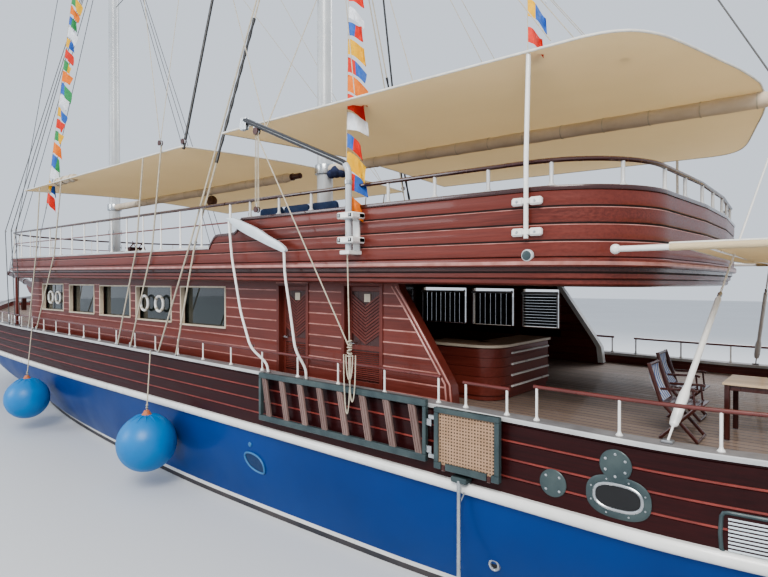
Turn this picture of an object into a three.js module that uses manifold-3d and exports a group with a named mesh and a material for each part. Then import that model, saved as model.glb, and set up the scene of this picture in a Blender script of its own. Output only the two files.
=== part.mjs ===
// A two-masted wooden tour boat of the pirate ship type, afloat. Millimetres, +X bow, +Y port, +Z up.
// The origin is amidships on the centreline, at the waterline.
import * as THREE from "three";
import { mergeVertices } from "three/addons/utils/BufferGeometryUtils.js";
import Module from "manifold-3d";

const wasm = await Module();
wasm.setup();

// Driving dimensions. Lengths given in metres are turned into millimetres by M.
const M = 1000;
const GAP = 0.3;
const HULL_HALF_LENGTH = 16.6;
const HALF_BEAM = 3.9;
const WATERLINE_STERN = -15.6;
const WATERLINE_STEM = 14.6;
const STEM_HEIGHT = 3.78;
const STERN_HEIGHT = 2.8;
const STRIPE_LOW = 0.1;
const STRIPE_HIGH = 0.19;
const RUB_HALF_HEIGHT = 0.08;
const RUB_PROUD = 0.09;
const CAP_THICK = 0.06;
const CAP_PROUD = 0.03;
const CAP_WIDTH = 0.24;
const BULWARK_THICK = 0.14;
const BULWARK_HEIGHT = 0.25;
const DECK_THICK = 0.05;
const KEEL_HALF_WIDTH = 0.14;
const KEEL_DEPTH = 2.25;
const WALL_OUTER = 3.35;
const WALL_THICK = 0.14;
const HOUSE_FRONT = 6.6;
const HOUSE_BULKHEAD = -5.35;
const UPPER_SLOPE = 0.0115;
const UPPER_LEVEL = 4.85;
const UPPER_UNDERSIDE = 4.55;
const MOULDING_HALF = 0.06;
const MOULDING_PROUD = 0.05;
const UPPER_WALL_THICK = 0.08;
const SILL_LEVEL = 5.25;
const UPPER_CAP_LEVEL = 5.78;
const UPPER_RAIL_LEVEL = 6.1;
const STEP_X = -5.3;
const UPPER_STERN_CORNER = -12.25;
const UPPER_STERN = -13.72;
const UPPER_BOW_CORNER = 6.5;
const UPPER_BOW = 8.9;
const MAIN_MAST_X = 7.63;
const MIZZEN_MAST_X = -4.65;
const MAST_RADIUS = 0.22;
const BOOM_RADIUS = 0.13;
const SHROUD_RADIUS = 0.014;
const RAIL_RADIUS = 0.025;
const STANCHION_RADIUS = 0.018;
const RUDDER_X = -14.2;
const SHAFT_Z = -1.3;

const COLOURS = {
  antifouling: 0x2b2a2e,
  white: 0xe9e7e2,
  blue: 0x1466b4,
  mahogany: 0x6f2a1f,
  darkWood: 0x4a2019,
  teak: 0xa98d6f,
  cap: 0xb9b4ab,
  cloth: 0xc4ab82,
  mast: 0xb9bdc0,
  rope: 0xcfc7b2,
  steel: 0x9a9d9f,
  glass: 0x232a2e,
  fender: 0x1f8fe0,
  bronze: 0x9a7a3c,
  chair: 0x54281b,
  rail: 0x9c4a44,
};

const group = new THREE.Group();

function addNode(name, shape, colour, roughness = 0.5, metalness = 0) {
  const geometry = shape.isBufferGeometry ? shape : geometryOf(shape);
  const material = new THREE.MeshStandardMaterial({ color: COLOURS[colour], roughness, metalness });
  const mesh = new THREE.Mesh(geometry, material);
  mesh.name = name;
  group.add(mesh);
  return mesh;
}

// A closed geometry as a solid, turned right side out if its faces point inwards.
function solidOf(geometry) {
  if (!geometry.isBufferGeometry) return geometry;
  const bare = geometry.clone();
  bare.deleteAttribute("normal");
  bare.deleteAttribute("uv");
  const merged = mergeVertices(bare, 1e-3);
  const triVerts = new Uint32Array(merged.index.array);
  const vertProperties = new Float32Array(merged.attributes.position.array);
  const made = new wasm.Manifold(new wasm.Mesh({ numProp: 3, vertProperties, triVerts }));
  if (made.volume() > 0) return made;
  for (let i = 0; i < triVerts.length; i += 3) {
    [triVerts[i + 1], triVerts[i + 2]] = [triVerts[i + 2], triVerts[i + 1]];
  }
  return new wasm.Manifold(new wasm.Mesh({ numProp: 3, vertProperties, triVerts }));
}

function geometryOf(solid) {
  const mesh = solid.getMesh();
  const positions = new Float32Array(mesh.numVert * 3);
  for (let i = 0; i < mesh.numVert; i++) {
    positions.set(mesh.vertProperties.subarray(i * mesh.numProp, i * mesh.numProp + 3), i * 3);
  }
  const geometry = new THREE.BufferGeometry();
  geometry.setAttribute("position", new THREE.BufferAttribute(positions, 3));
  geometry.setIndex(new THREE.BufferAttribute(mesh.triVerts, 1));
  geometry.computeVertexNormals();
  return geometry;
}

function join(...shapes) {
  return shapes.flat().map(solidOf).reduce((sum, shape) => sum.add(shape));
}

function cut(shape, ...tools) {
  return tools.flat().map(solidOf).reduce((rest, tool) => rest.subtract(tool), solidOf(shape));
}

// A block between two corners given in metres.
function block([x0, y0, z0], [x1, y1, z1]) {
  const geometry = new THREE.BoxGeometry((x1 - x0) * M, (y1 - y0) * M, (z1 - z0) * M);
  return geometry.translate(((x0 + x1) / 2) * M, ((y0 + y1) / 2) * M, ((z0 + z1) / 2) * M);
}

// A round bar from one point to another, in metres, with an optional end radius of its own.
function bar(from, to, radius, sides = 8, endRadius = radius) {
  const a = new THREE.Vector3(...from).multiplyScalar(M);
  const b = new THREE.Vector3(...to).multiplyScalar(M);
  const along = b.clone().sub(a);
  const geometry = new THREE.CylinderGeometry(endRadius * M, radius * M, along.length(), sides);
  const turn = new THREE.Quaternion().setFromUnitVectors(new THREE.Vector3(0, 1, 0),
    along.clone().normalize());
  geometry.applyQuaternion(turn);
  return geometry.translate(...a.add(b).multiplyScalar(0.5).toArray());
}

// A round tube swept through a list of points, in metres, mitred at each knee.
function tube(points, radius, sides = 8) {
  const path = points.map((p) => new THREE.Vector3(...p));
  const last = path.length - 1;
  const runs = path.slice(1).map((p, i) => p.clone().sub(path[i]).normalize());
  const level = Math.abs(runs[0].z) < 0.9 ? new THREE.Vector3(0, 0, 1) : new THREE.Vector3(1, 0, 0);
  const rings = path.map((p, i) => {
    const before = runs[Math.max(0, i - 1)];
    const after = runs[Math.min(last - 1, i)];
    const along = before.clone().add(after).normalize();
    const bend = after.clone().sub(before).normalize();
    const stretch = 1 / along.dot(after) - 1;
    const across = new THREE.Vector3().crossVectors(along, level).normalize();
    const up = new THREE.Vector3().crossVectors(across, along).normalize();
    level.copy(up);
    return Array.from({ length: sides }, (_, k) => {
      const a = (2 * Math.PI * (k + 0.5)) / sides;
      const offset = across.clone().multiplyScalar(Math.cos(a) * radius).addScaledVector(up,
        Math.sin(a) * radius);
      offset.addScaledVector(bend, offset.dot(bend) * stretch);
      return p.clone().add(offset).toArray();
    });
  });
  return loft(rings);
}

function ball([x, y, z], radius, sides = 16) {
  const geometry = new THREE.SphereGeometry(radius * M, sides, Math.round(sides * 0.6));
  return geometry.rotateX(Math.PI / 2).translate(x * M, y * M, z * M);
}

// A plate in the XZ plane: outline and holes as [x, z] in metres, from y0 to y1.
function sidePlate(outline, holes, y0, y1) {
  const shape = new THREE.Shape(outline.map(([x, z]) => new THREE.Vector2(x * M, z * M)));
  for (const hole of holes) {
    shape.holes.push(new THREE.Path(hole.map(([x, z]) => new THREE.Vector2(x * M, z * M))));
  }
  const depth = (y1 - y0) * M;
  const geometry = new THREE.ExtrudeGeometry(shape, { depth, bevelEnabled: false, curveSegments: 6 });
  return geometry.rotateX(Math.PI / 2).translate(0, y1 * M, 0);
}

// A plate in the XY plane: outline and holes as [x, y] in metres, from z0 to z1.
function flatPlate(outline, holes, z0, z1) {
  const shape = new THREE.Shape(outline.map(([x, y]) => new THREE.Vector2(x * M, y * M)));
  for (const hole of holes) {
    shape.holes.push(new THREE.Path(hole.map(([x, y]) => new THREE.Vector2(x * M, y * M))));
  }
  const geometry = new THREE.ExtrudeGeometry(shape, { depth: (z1 - z0) * M, bevelEnabled: false });
  return geometry.translate(0, 0, z0 * M);
}

// Closed sections of equal point count, joined one to the next. A section's points pair off first with
// last, so each end is closed by a strip between them.
function loft(rings) {
  const count = rings[0].length;
  const positions = rings.flat().flatMap((p) => p.map((v) => v * M));
  const index = [];
  for (let r = 0; r + 1 < rings.length; r++) {
    for (let i = 0; i < count; i++) {
      const j = (i + 1) % count;
      const a = r * count + i;
      const b = r * count + j;
      index.push(a, b, b + count, a, b + count, a + count);
    }
  }
  const last = (rings.length - 1) * count;
  for (let i = 0; i + 1 <= count - 2 - i; i++) {
    const j = count - 1 - i;
    index.push(i, i === j - 2 ? j : j - 1, i + 1);
    index.push(last + i, last + i + 1, last + (i === j - 2 ? j : j - 1));
    if (i < j - 2) {
      index.push(i, j, j - 1);
      index.push(last + i, last + j - 1, last + j);
    }
  }
  const geometry = new THREE.BufferGeometry();
  geometry.setAttribute("position", new THREE.Float32BufferAttribute(positions, 3));
  geometry.setIndex(index);
  return geometry;
}

// A smooth curve through [place, value] pairs that never overshoots them.
function through(table, x) {
  if (x <= table[0][0]) return table[0][1];
  if (x >= table[table.length - 1][0]) return table[table.length - 1][1];
  const slope = (i) => (table[i + 1][1] - table[i][1]) / (table[i + 1][0] - table[i][0]);
  const tangent = (i) => {
    if (i === 0) return slope(0);
    if (i === table.length - 1) return slope(i - 1);
    const before = slope(i - 1);
    const after = slope(i);
    return before * after <= 0 ? 0 : (2 * before * after) / (before + after);
  };
  let i = 0;
  while (x > table[i + 1][0]) i++;
  const span = table[i + 1][0] - table[i][0];
  const t = (x - table[i][0]) / span;
  const rise = table[i + 1][1] - table[i][1];
  const s0 = tangent(i) * span;
  const s1 = tangent(i + 1) * span;
  return table[i][1] + t * s0 + t * t * (3 * rise - 2 * s0 - s1) + t * t * t * (s0 + s1 - 2 * rise);
}

// Hull lines, by length along the deck: [length, half breadth or depth].
const DECK_BREADTH = [
  [-16.6, 3.4], [-15.4, 3.72], [-13.6, 3.9], [9.2, 3.9], [11.6, 3.58], [13.5, 2.9], [15.2, 1.85],
  [16.2, 0.85], [16.6, 0.1],
];
const WATER_BREADTH = [
  [-16.6, 2.4], [-14, 3.15], [-10, 3.55], [-5, 3.65], [0, 3.45], [4, 3.1], [8, 2.5], [11.5, 1.6],
  [14.4, 0.75], [16.6, 0.1],
];
const BODY_DEPTH = [
  [-16.6, 0.2], [-14.4, 0.36], [-12.4, 0.65], [-9, 1.25], [-3, 1.65], [4, 1.7], [9, 1.5], [13, 1.0],
  [16.6, 0.35],
];
const STATIONS = [
  -16.6, -16, -15, -14, -13, -11, -8, -4, 0, 3, 6, 8, 9.2, 10.4, 11.6, 12.6, 13.5, 14.4, 15.2, 15.8,
  16.25, 16.6,
];

const capLevel = (x) => 2.895 + 0.0135 * x + 0.006 * Math.max(0, x - 6) ** 2 + 0.008 * Math.min(0,
  x + 13) ** 2;
const rubLevel = (x) => 1.775 + 0.0085 * x + 0.0016 * Math.max(0, x) ** 2;
const deckLevel = (x) => capLevel(x) - BULWARK_HEIGHT;
const sternAt = (z) => WATERLINE_STERN - (HULL_HALF_LENGTH + WATERLINE_STERN) * Math.min(1,
  Math.max(0, z) / STERN_HEIGHT);
const stemAt = (z) => WATERLINE_STEM + (HULL_HALF_LENGTH - WATERLINE_STEM) * Math.min(1,
  Math.max(0, z) / STEM_HEIGHT) ** 1.3;

// The real x of a place given by its length along the deck and its height.
function hullX(length, z) {
  const share = (length + HULL_HALF_LENGTH) / (2 * HULL_HALF_LENGTH);
  return sternAt(z) + share * (stemAt(z) - sternAt(z));
}

function hullY(length, z) {
  const low = through(WATER_BREADTH, length);
  const high = through(DECK_BREADTH, length);
  const rise = Math.min(1, Math.max(0, z) / rubLevel(length));
  return low + (high - low) * Math.sin((Math.PI / 2) * rise);
}

// The place along the deck's length that lies over a real x at a height.
function lengthAt(x, z) {
  return -HULL_HALF_LENGTH + (2 * HULL_HALF_LENGTH * (x - sternAt(z))) / (stemAt(z) - sternAt(z));
}

// The breadth of the hull brought in by a wall's thickness, measured square to the wall.
function insetY(length, z, thickness) {
  const step = 0.05;
  const slope = (hullY(length + step, z) - hullY(length - step, z)) / (2 * step);
  return Math.max(0.05, hullY(length, z) - thickness * Math.hypot(1, slope));
}

// The real [x, z] of a level at each length; the ends may be moved along their own stretch.
function levelLine(level, lengths, moveStart = 0, moveEnd = 0) {
  const line = lengths.map((length) => {
    let z = level(length);
    for (let pass = 0; pass < 6; pass++) z = level(hullX(length, z));
    return [hullX(length, z), z];
  });
  const move = (i, j, by) => {
    const slope = (line[j][1] - line[i][1]) / (line[j][0] - line[i][0]);
    return [line[i][0] + by, line[i][1] + slope * by];
  };
  const last = lengths.length - 1;
  const start = move(0, 1, moveStart);
  const end = move(last, last - 1, moveEnd);
  line[0] = start;
  line[last] = end;
  return line;
}

// A slab of the hull between two level functions, grown outwards by proud.
function hullSlab(low, high, steps, proud = 0) {
  const lows = levelLine(low, STATIONS, -proud, proud);
  const highs = levelLine(high, STATIONS, -proud, proud);
  const rings = STATIONS.map((length, k) => {
    const port = Array.from({ length: steps + 1 }, (_, i) => {
      const share = i / steps;
      const z = lows[k][1] + (highs[k][1] - lows[k][1]) * share;
      const x = lows[k][0] + (highs[k][0] - lows[k][0]) * share;
      return [x, hullY(length, z) + proud, z];
    });
    return port.concat(port.map(([x, y, z]) => [x, -y, z]).reverse());
  });
  return loft(rings);
}

// The space inside the bulwarks between two level functions, brought in by inset.
const INSIDE_STATIONS = STATIONS.slice(0, -3).concat([15.6]);
function insideSlab(low, high, inset, endGap = 0) {
  const lows = levelLine(low, INSIDE_STATIONS, inset, -endGap);
  const highs = levelLine(high, INSIDE_STATIONS, inset, -endGap);
  const rings = INSIDE_STATIONS.map((length, k) => {
    const port = [lows[k], highs[k]].map(([x, z]) => [x, insetY(length, z, inset), z]);
    return port.concat(port.map(([x, y, z]) => [x, -y, z]).reverse());
  });
  return loft(rings);
}

// Height of the deck and of the cap rail at a real x, and a seat for a piece that reaches r each way.
const lineHeight = (line, x) => {
  const i = Math.min(line.length - 2, Math.max(0, line.findIndex(([px]) => px > x) - 1));
  const [x0, z0] = line[i];
  const [x1, z1] = line[i + 1];
  return z0 + ((z1 - z0) * (x - x0)) / (x1 - x0);
};
const deckLine = levelLine((x) => capLevel(x) - BULWARK_HEIGHT, INSIDE_STATIONS);
const capLine = levelLine(capLevel, STATIONS);
const deckSeatAt = (x, r = 0) => Math.max(lineHeight(deckLine, x - r),
  lineHeight(deckLine, x + r)) + GAP / M;
const capSeatAt = (x, r = 0) => Math.max(lineHeight(capLine, x - r), lineHeight(capLine, x + r)) + GAP / M;

// Hull bottom: round bilges under the stripe, a long keel, a deadwood and a shoe under the rudder.
function hullBottom() {
  const steps = 6;
  const rings = STATIONS.map((length) => {
    const depth = through(BODY_DEPTH, length) + STRIPE_LOW;
    const port = [];
    for (let i = 0; i <= steps; i++) {
      const angle = ((Math.PI / 2) * i) / steps;
      const z = STRIPE_LOW - GAP / M - depth * Math.sin(angle) ** 1.15;
      port.push([hullX(length, STRIPE_LOW), hullY(length, STRIPE_LOW) * Math.cos(angle) ** 0.75, z]);
    }
    port[steps][1] = 0;
    const starboard = port.slice(0, steps).map(([x, y, z]) => [x, -y, z]).reverse();
    return port.concat(starboard);
  });
  const keel = sidePlate(
    [[-14.9, -KEEL_DEPTH], [-14.9, -KEEL_DEPTH + 0.14], [-12.6, -KEEL_DEPTH + 0.14], [-12.6, -0.5],
    [-13.0, -0.25],
      [12.4, -0.25], [13.3, -0.5], [12.2, -1.4], [10.5, -1.95]],
    [], -KEEL_HALF_WIDTH, KEEL_HALF_WIDTH);
  const rudderTrunk = bar([RUDDER_X, 0, -1.2], [RUDDER_X, 0, 0.02], 0.085, 12);
  const shaftBoss = bar([-12.3, 0, SHAFT_Z], [-12.64, 0, SHAFT_Z], 0.13, 12);
  return cut(join(loft(rings), keel, shaftBoss), rudderTrunk);
}

const stripeLow = () => STRIPE_LOW;
const stripeHigh = () => STRIPE_HIGH - GAP / M;
const topsideLow = () => STRIPE_HIGH;
const topsideHigh = (x) => rubLevel(x) - RUB_HALF_HEIGHT - GAP / M;
const rubLow = (x) => rubLevel(x) - RUB_HALF_HEIGHT;
const rubHigh = (x) => rubLevel(x) + RUB_HALF_HEIGHT - GAP / M;
const plankLow = (x) => rubLevel(x) + RUB_HALF_HEIGHT;
const plankHigh = (x) => capLevel(x) - CAP_THICK - GAP / M;
const capLow = (x) => capLevel(x) - CAP_THICK;
const deckSeat = (x) => deckLevel(x) - DECK_THICK - GAP / M;
const deckUnder = (x) => deckLevel(x) - DECK_THICK;
const wellTop = (x) => capLevel(x) + 0.4;

addNode("hull_bottom", hullBottom(), "antifouling", 0.7);
addNode("boot_stripe", hullSlab(stripeLow, stripeHigh, 1), "white", 0.4);
addNode("hull_topside", hullSlab(topsideLow, topsideHigh, 4), "blue", 0.3);
addNode("rub_rail", hullSlab(rubLow, rubHigh, 1, RUB_PROUD), "white", 0.35);

// Boarding platform and ladder, stowed against the port side. The platform turns about a bar along X.
const PLATFORM = { aft: -11.98, fore: -10.98, low: 1.9, high: 2.74, inner: 3.98, outer: 4.06 };
const LADDER = { aft: -10.84, fore: -7.1, low: 1.95, high: 2.82 };
const PLATFORM_AXIS = { y: 4.02, z: 1.92 };
const LADDER_AXIS_X = -10.91;
const HINGE_RADIUS = 0.028;

// Plank seams, by their share of the way up the planking, cut as shallow grooves.
const HULL_SEAMS = [0.235, 0.485, 0.735];
const SEAM = { half: 0.006, deep: 0.01, reach: 0.05 };
function hullSeam(share) {
  const level = (lift) => (x) => plankLow(x) + (plankHigh(x) - plankLow(x)) * share + lift;
  const outside = hullSlab(level(-SEAM.half), level(SEAM.half), 1, SEAM.reach);
  return cut(solidOf(outside), hullSlab(level(-SEAM.reach), level(SEAM.reach), 1, -SEAM.deep));
}
// Fittings on the planking aft: bolted discs, and an oval fairlead with a rim.
const DISCS = [
  // x, z, radius
  [-12.63, 2.03, 0.17],
  [-13.36, 2.4, 0.18],
];
const FAIRLEAD = { aft: -13.74, fore: -13.03, low: 1.8, high: 2.28, rim: 0.08 };
function oval(inset) {
  const { aft, fore, low, high } = FAIRLEAD;
  const r = (high - low) / 2 - inset;
  return Array.from({ length: 12 }, (_, i) => {
    const a = (Math.PI / 6) * (i + 0.5);
    const end = Math.cos(a) > 0 ? fore - inset - r : aft + inset + r;
    return [end + r * Math.cos(a), (low + high) / 2 + r * Math.sin(a)];
  });
}
const fittings = [1, -1].flatMap((side) => {
  const [y0, y1] = [side * (HALF_BEAM - 0.06), side * (HALF_BEAM + 0.022)].sort((a, b) => a - b);
  const discs = DISCS.map(([x, z, r]) => bar([x, y0, z], [x, y1, z], r, 16));
  return [...discs, sidePlate(oval(0), [oval(FAIRLEAD.rim)], y0, y1)];
});
function hullPlanking() {
  const whole = hullSlab(plankLow, plankHigh, 2);
  const shell = cut(whole, insideSlab(deckSeat, wellTop, BULWARK_THICK), HULL_SEAMS.map(hullSeam));
  const lugs = [PLATFORM.aft + 0.12, PLATFORM.fore - 0.18].map((x) =>
    block([x, HALF_BEAM - 0.05, PLATFORM_AXIS.z - 0.04],
      [x + 0.06, PLATFORM_AXIS.y + 0.03, PLATFORM_AXIS.z + 0.04]));
  return join(shell, lugs, fittings);
}
addNode("hull_planking", hullPlanking(), "mahogany", 0.3);

function capRail() {
  const outer = hullSlab(capLow, capLevel, 1, CAP_PROUD);
  const inner = insideSlab((x) => capLow(x) - 0.2, wellTop, CAP_WIDTH, 0.3);
  return cut(outer, inner);
}
addNode("cap_rail", capRail(), "cap", 0.45);

// Masts stand on the main deck and pass through the upper deck.
const MASTS = [
  // name, x, top, hounds
  { name: "main_mast", x: MAIN_MAST_X, top: 28.6, hounds: 19.6 },
  { name: "mizzen_mast", x: MIZZEN_MAST_X, top: 26.8, hounds: 18.1 },
];
const HOUNDS_SHARE = 0.86;
const HEAD_SHARE = 0.5;
const MAST_SIDES = 14;
for (const mast of MASTS) {
  mast.foot = deckSeatAt(mast.x, MAST_RADIUS);
  const lower = bar([mast.x, 0, mast.foot], [mast.x, 0, mast.hounds], MAST_RADIUS, MAST_SIDES,
    MAST_RADIUS * HOUNDS_SHARE);
  const upper = bar([mast.x, 0, mast.hounds], [mast.x, 0, mast.top], MAST_RADIUS * HOUNDS_SHARE,
    MAST_SIDES, MAST_RADIUS * HEAD_SHARE);
  const truck = bar([mast.x, 0, mast.top - 0.02], [mast.x, 0, mast.top + 0.06], 0.16, 14);
  addNode(mast.name, join(lower, upper, truck), "mast", 0.4);
}
function mastRadiusAt(mast, z) {
  const below = 1 - ((1 - HOUNDS_SHARE) * (z - mast.foot)) / (mast.hounds - mast.foot);
  const above = HOUNDS_SHARE - ((HOUNDS_SHARE - HEAD_SHARE) * (z - mast.hounds)) / (mast.top - mast.hounds);
  return MAST_RADIUS * (z < mast.hounds ? below : above);
}
// A band round a mast between two heights, with a running gap inside.
function mastBand(mast, low, high, thickness) {
  const outside = bar([mast.x, 0, low], [mast.x, 0, high], mastRadiusAt(mast, low) + thickness, MAST_SIDES);
  const [from, to] = [low - 0.1, high + 0.1];
  const inside = bar([mast.x, 0, from], [mast.x, 0, to], mastRadiusAt(mast, from) + GAP / M, MAST_SIDES,
    mastRadiusAt(mast, to) + GAP / M);
  return { outside, inside };
}
const BITTS = [
  // x, y
  [13.9, 1.35],
  [13.9, -1.35],
  [-15.7, 2.6],
  [-15.7, -2.6],
];
const BITT_HEIGHT = 0.55;
function mainDeck() {
  const planks = insideSlab(deckUnder, deckLevel, BULWARK_THICK + 0.02, 0.02);
  const bitts = BITTS.flatMap(([x, y]) => {
    const foot = deckSeatAt(x);
    return [block([x - 0.09, y - 0.09, foot - 0.03], [x + 0.09, y + 0.09, foot + BITT_HEIGHT]),
      bar([x, y - 0.22, foot + 0.36], [x, y + 0.22, foot + 0.36], 0.035, 8)];
  });
  return join(planks, bitts);
}
addNode("main_deck", mainDeck(), "teak", 0.7);

// Bowsprit on the stem head, its heel in a bitt on the foredeck, with a knee under it.
const SPRIT = { heel: [13.6, 0, 3.74], end: [20.6, 0, 5.0] };
function bowsprit() {
  const spar = bar(SPRIT.heel, SPRIT.end, 0.17, 12, 0.1);
  const heelBitt = block([13.45, -0.24, deckSeatAt(13.6, 0.15)], [13.75, 0.24, 3.98]);
  const knee = sidePlate([[15.9, 3.84], [16.75, 3.84], [17.6, 4.3], [17.5, 4.5], [15.9, 4.2]], [],
    -0.09, 0.09);
  const endBand = bar([20.35, 0, 4.955], [20.62, 0, 5.0036], 0.13, 12);
  return join(spar, heelBitt, knee, endBand);
}
addNode("bowsprit", bowsprit(), "mahogany", 0.35);

// Rudder on its stock, and a four-bladed propeller on its shaft.
function rudder() {
  const blade = sidePlate(
    [[RUDDER_X - 0.75, -1.95], [RUDDER_X + 0.2, -2.05], [RUDDER_X + 0.2, -0.95],
      [RUDDER_X - 0.7, -0.85]], [], -0.06, 0.06);
  const stock = bar([RUDDER_X, 0, -KEEL_DEPTH + 0.14 + GAP / M], [RUDDER_X, 0, 0.0], 0.06, 12);
  return join(blade, stock);
}
addNode("rudder", rudder(), "antifouling", 0.6);

function propeller() {
  const hub = bar([-12.6403, 0, SHAFT_Z], [-12.98, 0, SHAFT_Z], 0.09, 12, 0.06);
  const blades = [0, 1, 2, 3].map((i) => {
    const outline = [[-0.07, 0.05], [-0.13, 0.31], [-0.05, 0.42], [0.08, 0.4], [0.12, 0.26], [0.06, 0.05]];
    const blade = sidePlate(outline, [], -0.012, 0.012);
    blade.rotateZ(Math.PI / 3.2).rotateX((Math.PI / 2) * i);
    return blade.translate(-12.83 * M, 0, SHAFT_Z * M);
  });
  return join(hub, blades);
}
addNode("propeller", propeller(), "bronze", 0.3, 0.9);

// Deckhouse. Windows on the port side by their x, with a shared height; doors aft of them.
const WINDOWS = [
  // aft, fore, low, high
  [-5.01, -3.23, 3.49, 4.35],
  [-2.77, -1.03, 3.52, 4.35],
  [-0.67, 1.14, 3.55, 4.36],
  [1.55, 3.3, 3.56, 4.38],
  [3.81, 5.56, 3.58, 4.4],
];
const BAR_WINDOWS = [
  [-9.75, -8.79, 3.3, 4.3],
  [-8.5, -7.28, 3.3, 4.32],
  [-7.03, -5.55, 3.3, 4.33],
];
const DOORS = [
  // name, aft, fore
  { name: "door_aft", aft: -9.41, fore: -8.6 },
  { name: "door_forward", aft: -7.61, fore: -6.83 },
];
const DOOR_TOP = 4.4;
const DOOR_SILL = 0.1;
const DOOR_THICK = 0.045;
const underside = (x) => UPPER_UNDERSIDE + UPPER_SLOPE * x;
const WALL_INNER = WALL_OUTER - WALL_THICK;

const floor = (x) => deckSeatAt(x);
const ceiling = (x) => underside(x) - 2 * GAP / M;
const WING_FOOT = -10.85;
const WING_HEAD = -9.85;
const PLANK_STEP = 0.2;
const GROOVE = { deep: 0.008, half: 0.006 };
const FRAME = { wide: 0.055, proud: 0.02 };
function sideWall(side, windows, doorways) {
  const outline = [
    [WING_FOOT, floor(WING_FOOT)], [6, floor(6)], [HOUSE_FRONT, floor(HOUSE_FRONT)],
      [HOUSE_FRONT, ceiling(HOUSE_FRONT)],
    [WING_HEAD + 0.1, ceiling(WING_HEAD)], [WING_HEAD, ceiling(WING_HEAD) - 0.12], [WING_FOOT + 0.06, 2.95],
  ];
  const [y0, y1] = side > 0 ? [WALL_INNER, WALL_OUTER] : [-WALL_OUTER, -WALL_INNER];
  const across = (depth, reach) => [side * (WALL_OUTER - depth),
    side * (WALL_OUTER + reach)].sort((a, b) => a - b);
  const [g0, g1] = across(GROOVE.deep, 0.1);
  const grooves = Array.from({ length: 8 }, (_, i) => 2.95 + PLANK_STEP * i).map((z) =>
    block([WING_FOOT - 1, g0, z - GROOVE.half], [HOUSE_FRONT + 1, g1, z + GROOVE.half]));
  const [f0, f1] = across(0.02, FRAME.proud);
  const frames = windows.map(([aft, fore, low, high]) =>
    block([aft - FRAME.wide, f0, low - FRAME.wide], [fore + FRAME.wide, f1, high + FRAME.wide]));
  const openings = [...windows, ...doorways].map(([aft, fore, low, high]) =>
    block([aft, y0 - 1, low], [fore, y1 + 1, high]));
  return cut(join(cut(sidePlate(outline, [], y0, y1), grooves), frames), openings);
}
const doorHoles = DOORS.map(({ aft, fore }) => [aft, fore, deckSeatAt(aft) + DOOR_SILL, DOOR_TOP]);
addNode("house_side_port", sideWall(1, WINDOWS, doorHoles), "mahogany", 0.35);
addNode("house_side_starboard", sideWall(-1, [...WINDOWS, ...BAR_WINDOWS], []), "mahogany", 0.35);

// A wall across the boat between x0 and x1.
function crossWall(x0, x1) {
  const inner = WALL_INNER - GAP / M;
  const outline = [[-inner, floor(x1)], [inner, floor(x1)], [inner, ceiling(x0)], [-inner, ceiling(x0)]];
  return sidePlate(outline, [], -x1, -x0).rotateZ(Math.PI / 2);
}
function frontWall() {
  const windows = [-2.5, -1.35, 1.35, 2.5].map((y) =>
    block([HOUSE_FRONT - 0.3, y - 0.45, 3.55], [HOUSE_FRONT + 0.2, y + 0.45, 4.35]));
  return cut(crossWall(HOUSE_FRONT - 0.1, HOUSE_FRONT), windows);
}
addNode("house_front", frontWall(), "mahogany", 0.35);
function bulkhead() {
  const doorway = block([HOUSE_BULKHEAD - 1, -2.2, 2.7], [HOUSE_BULKHEAD + 1, -1.35, 4.3]);
  return cut(crossWall(HOUSE_BULKHEAD, HOUSE_BULKHEAD + 0.06), doorway);
}
addNode("house_bulkhead", bulkhead(), "darkWood", 0.6);

for (const [name, side, aft] of [["glass_port", 1, -5.1], ["glass_starboard", -1, -5.1]]) {
  const outerFace = WALL_INNER - GAP / M;
  const [y0, y1] = side > 0 ? [outerFace - 0.012, outerFace] : [-outerFace, -outerFace + 0.012];
  addNode(name, block([aft, y0, 3.42], [5.65, y1, 4.42]), "glass", 0.1);
}

for (const door of DOORS) {
  const low = deckSeatAt(door.aft) + DOOR_SILL + 0.008;
  const leaf = block([door.aft + 0.008, WALL_INNER + 0.002, low],
    [door.fore - 0.006, WALL_INNER + DOOR_THICK, DOOR_TOP - 0.006]);
  const pins = [low + 0.3, DOOR_TOP - 0.3].map((z) =>
    block([door.aft + GAP / M, WALL_INNER + 0.002, z], [door.aft + 0.02, WALL_INNER + 0.02, z + 0.1]));
  const handle = bar([door.fore - 0.09, WALL_INNER + DOOR_THICK - 0.002, 3.4],
    [door.fore - 0.09, WALL_INNER + 0.085, 3.4], 0.012);
  const lever = bar([door.fore - 0.08, WALL_INNER + 0.085, 3.4],
    [door.fore - 0.2, WALL_INNER + 0.085, 3.4], 0.01);
  addNode(door.name, join(leaf, pins, handle, lever), "darkWood", 0.45);
}

// Upper deck, built level and then given the slope of its sheer.
function sheared(shape) {
  const geometry = shape.isBufferGeometry ? shape : geometryOf(shape);
  const slope = new THREE.Matrix4().set(1, 0, 0, 0, 0, 1, 0, 0, UPPER_SLOPE, 0, 1, 0, 0, 0, 0, 1);
  geometry.applyMatrix4(slope);
  return geometry;
}

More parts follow.
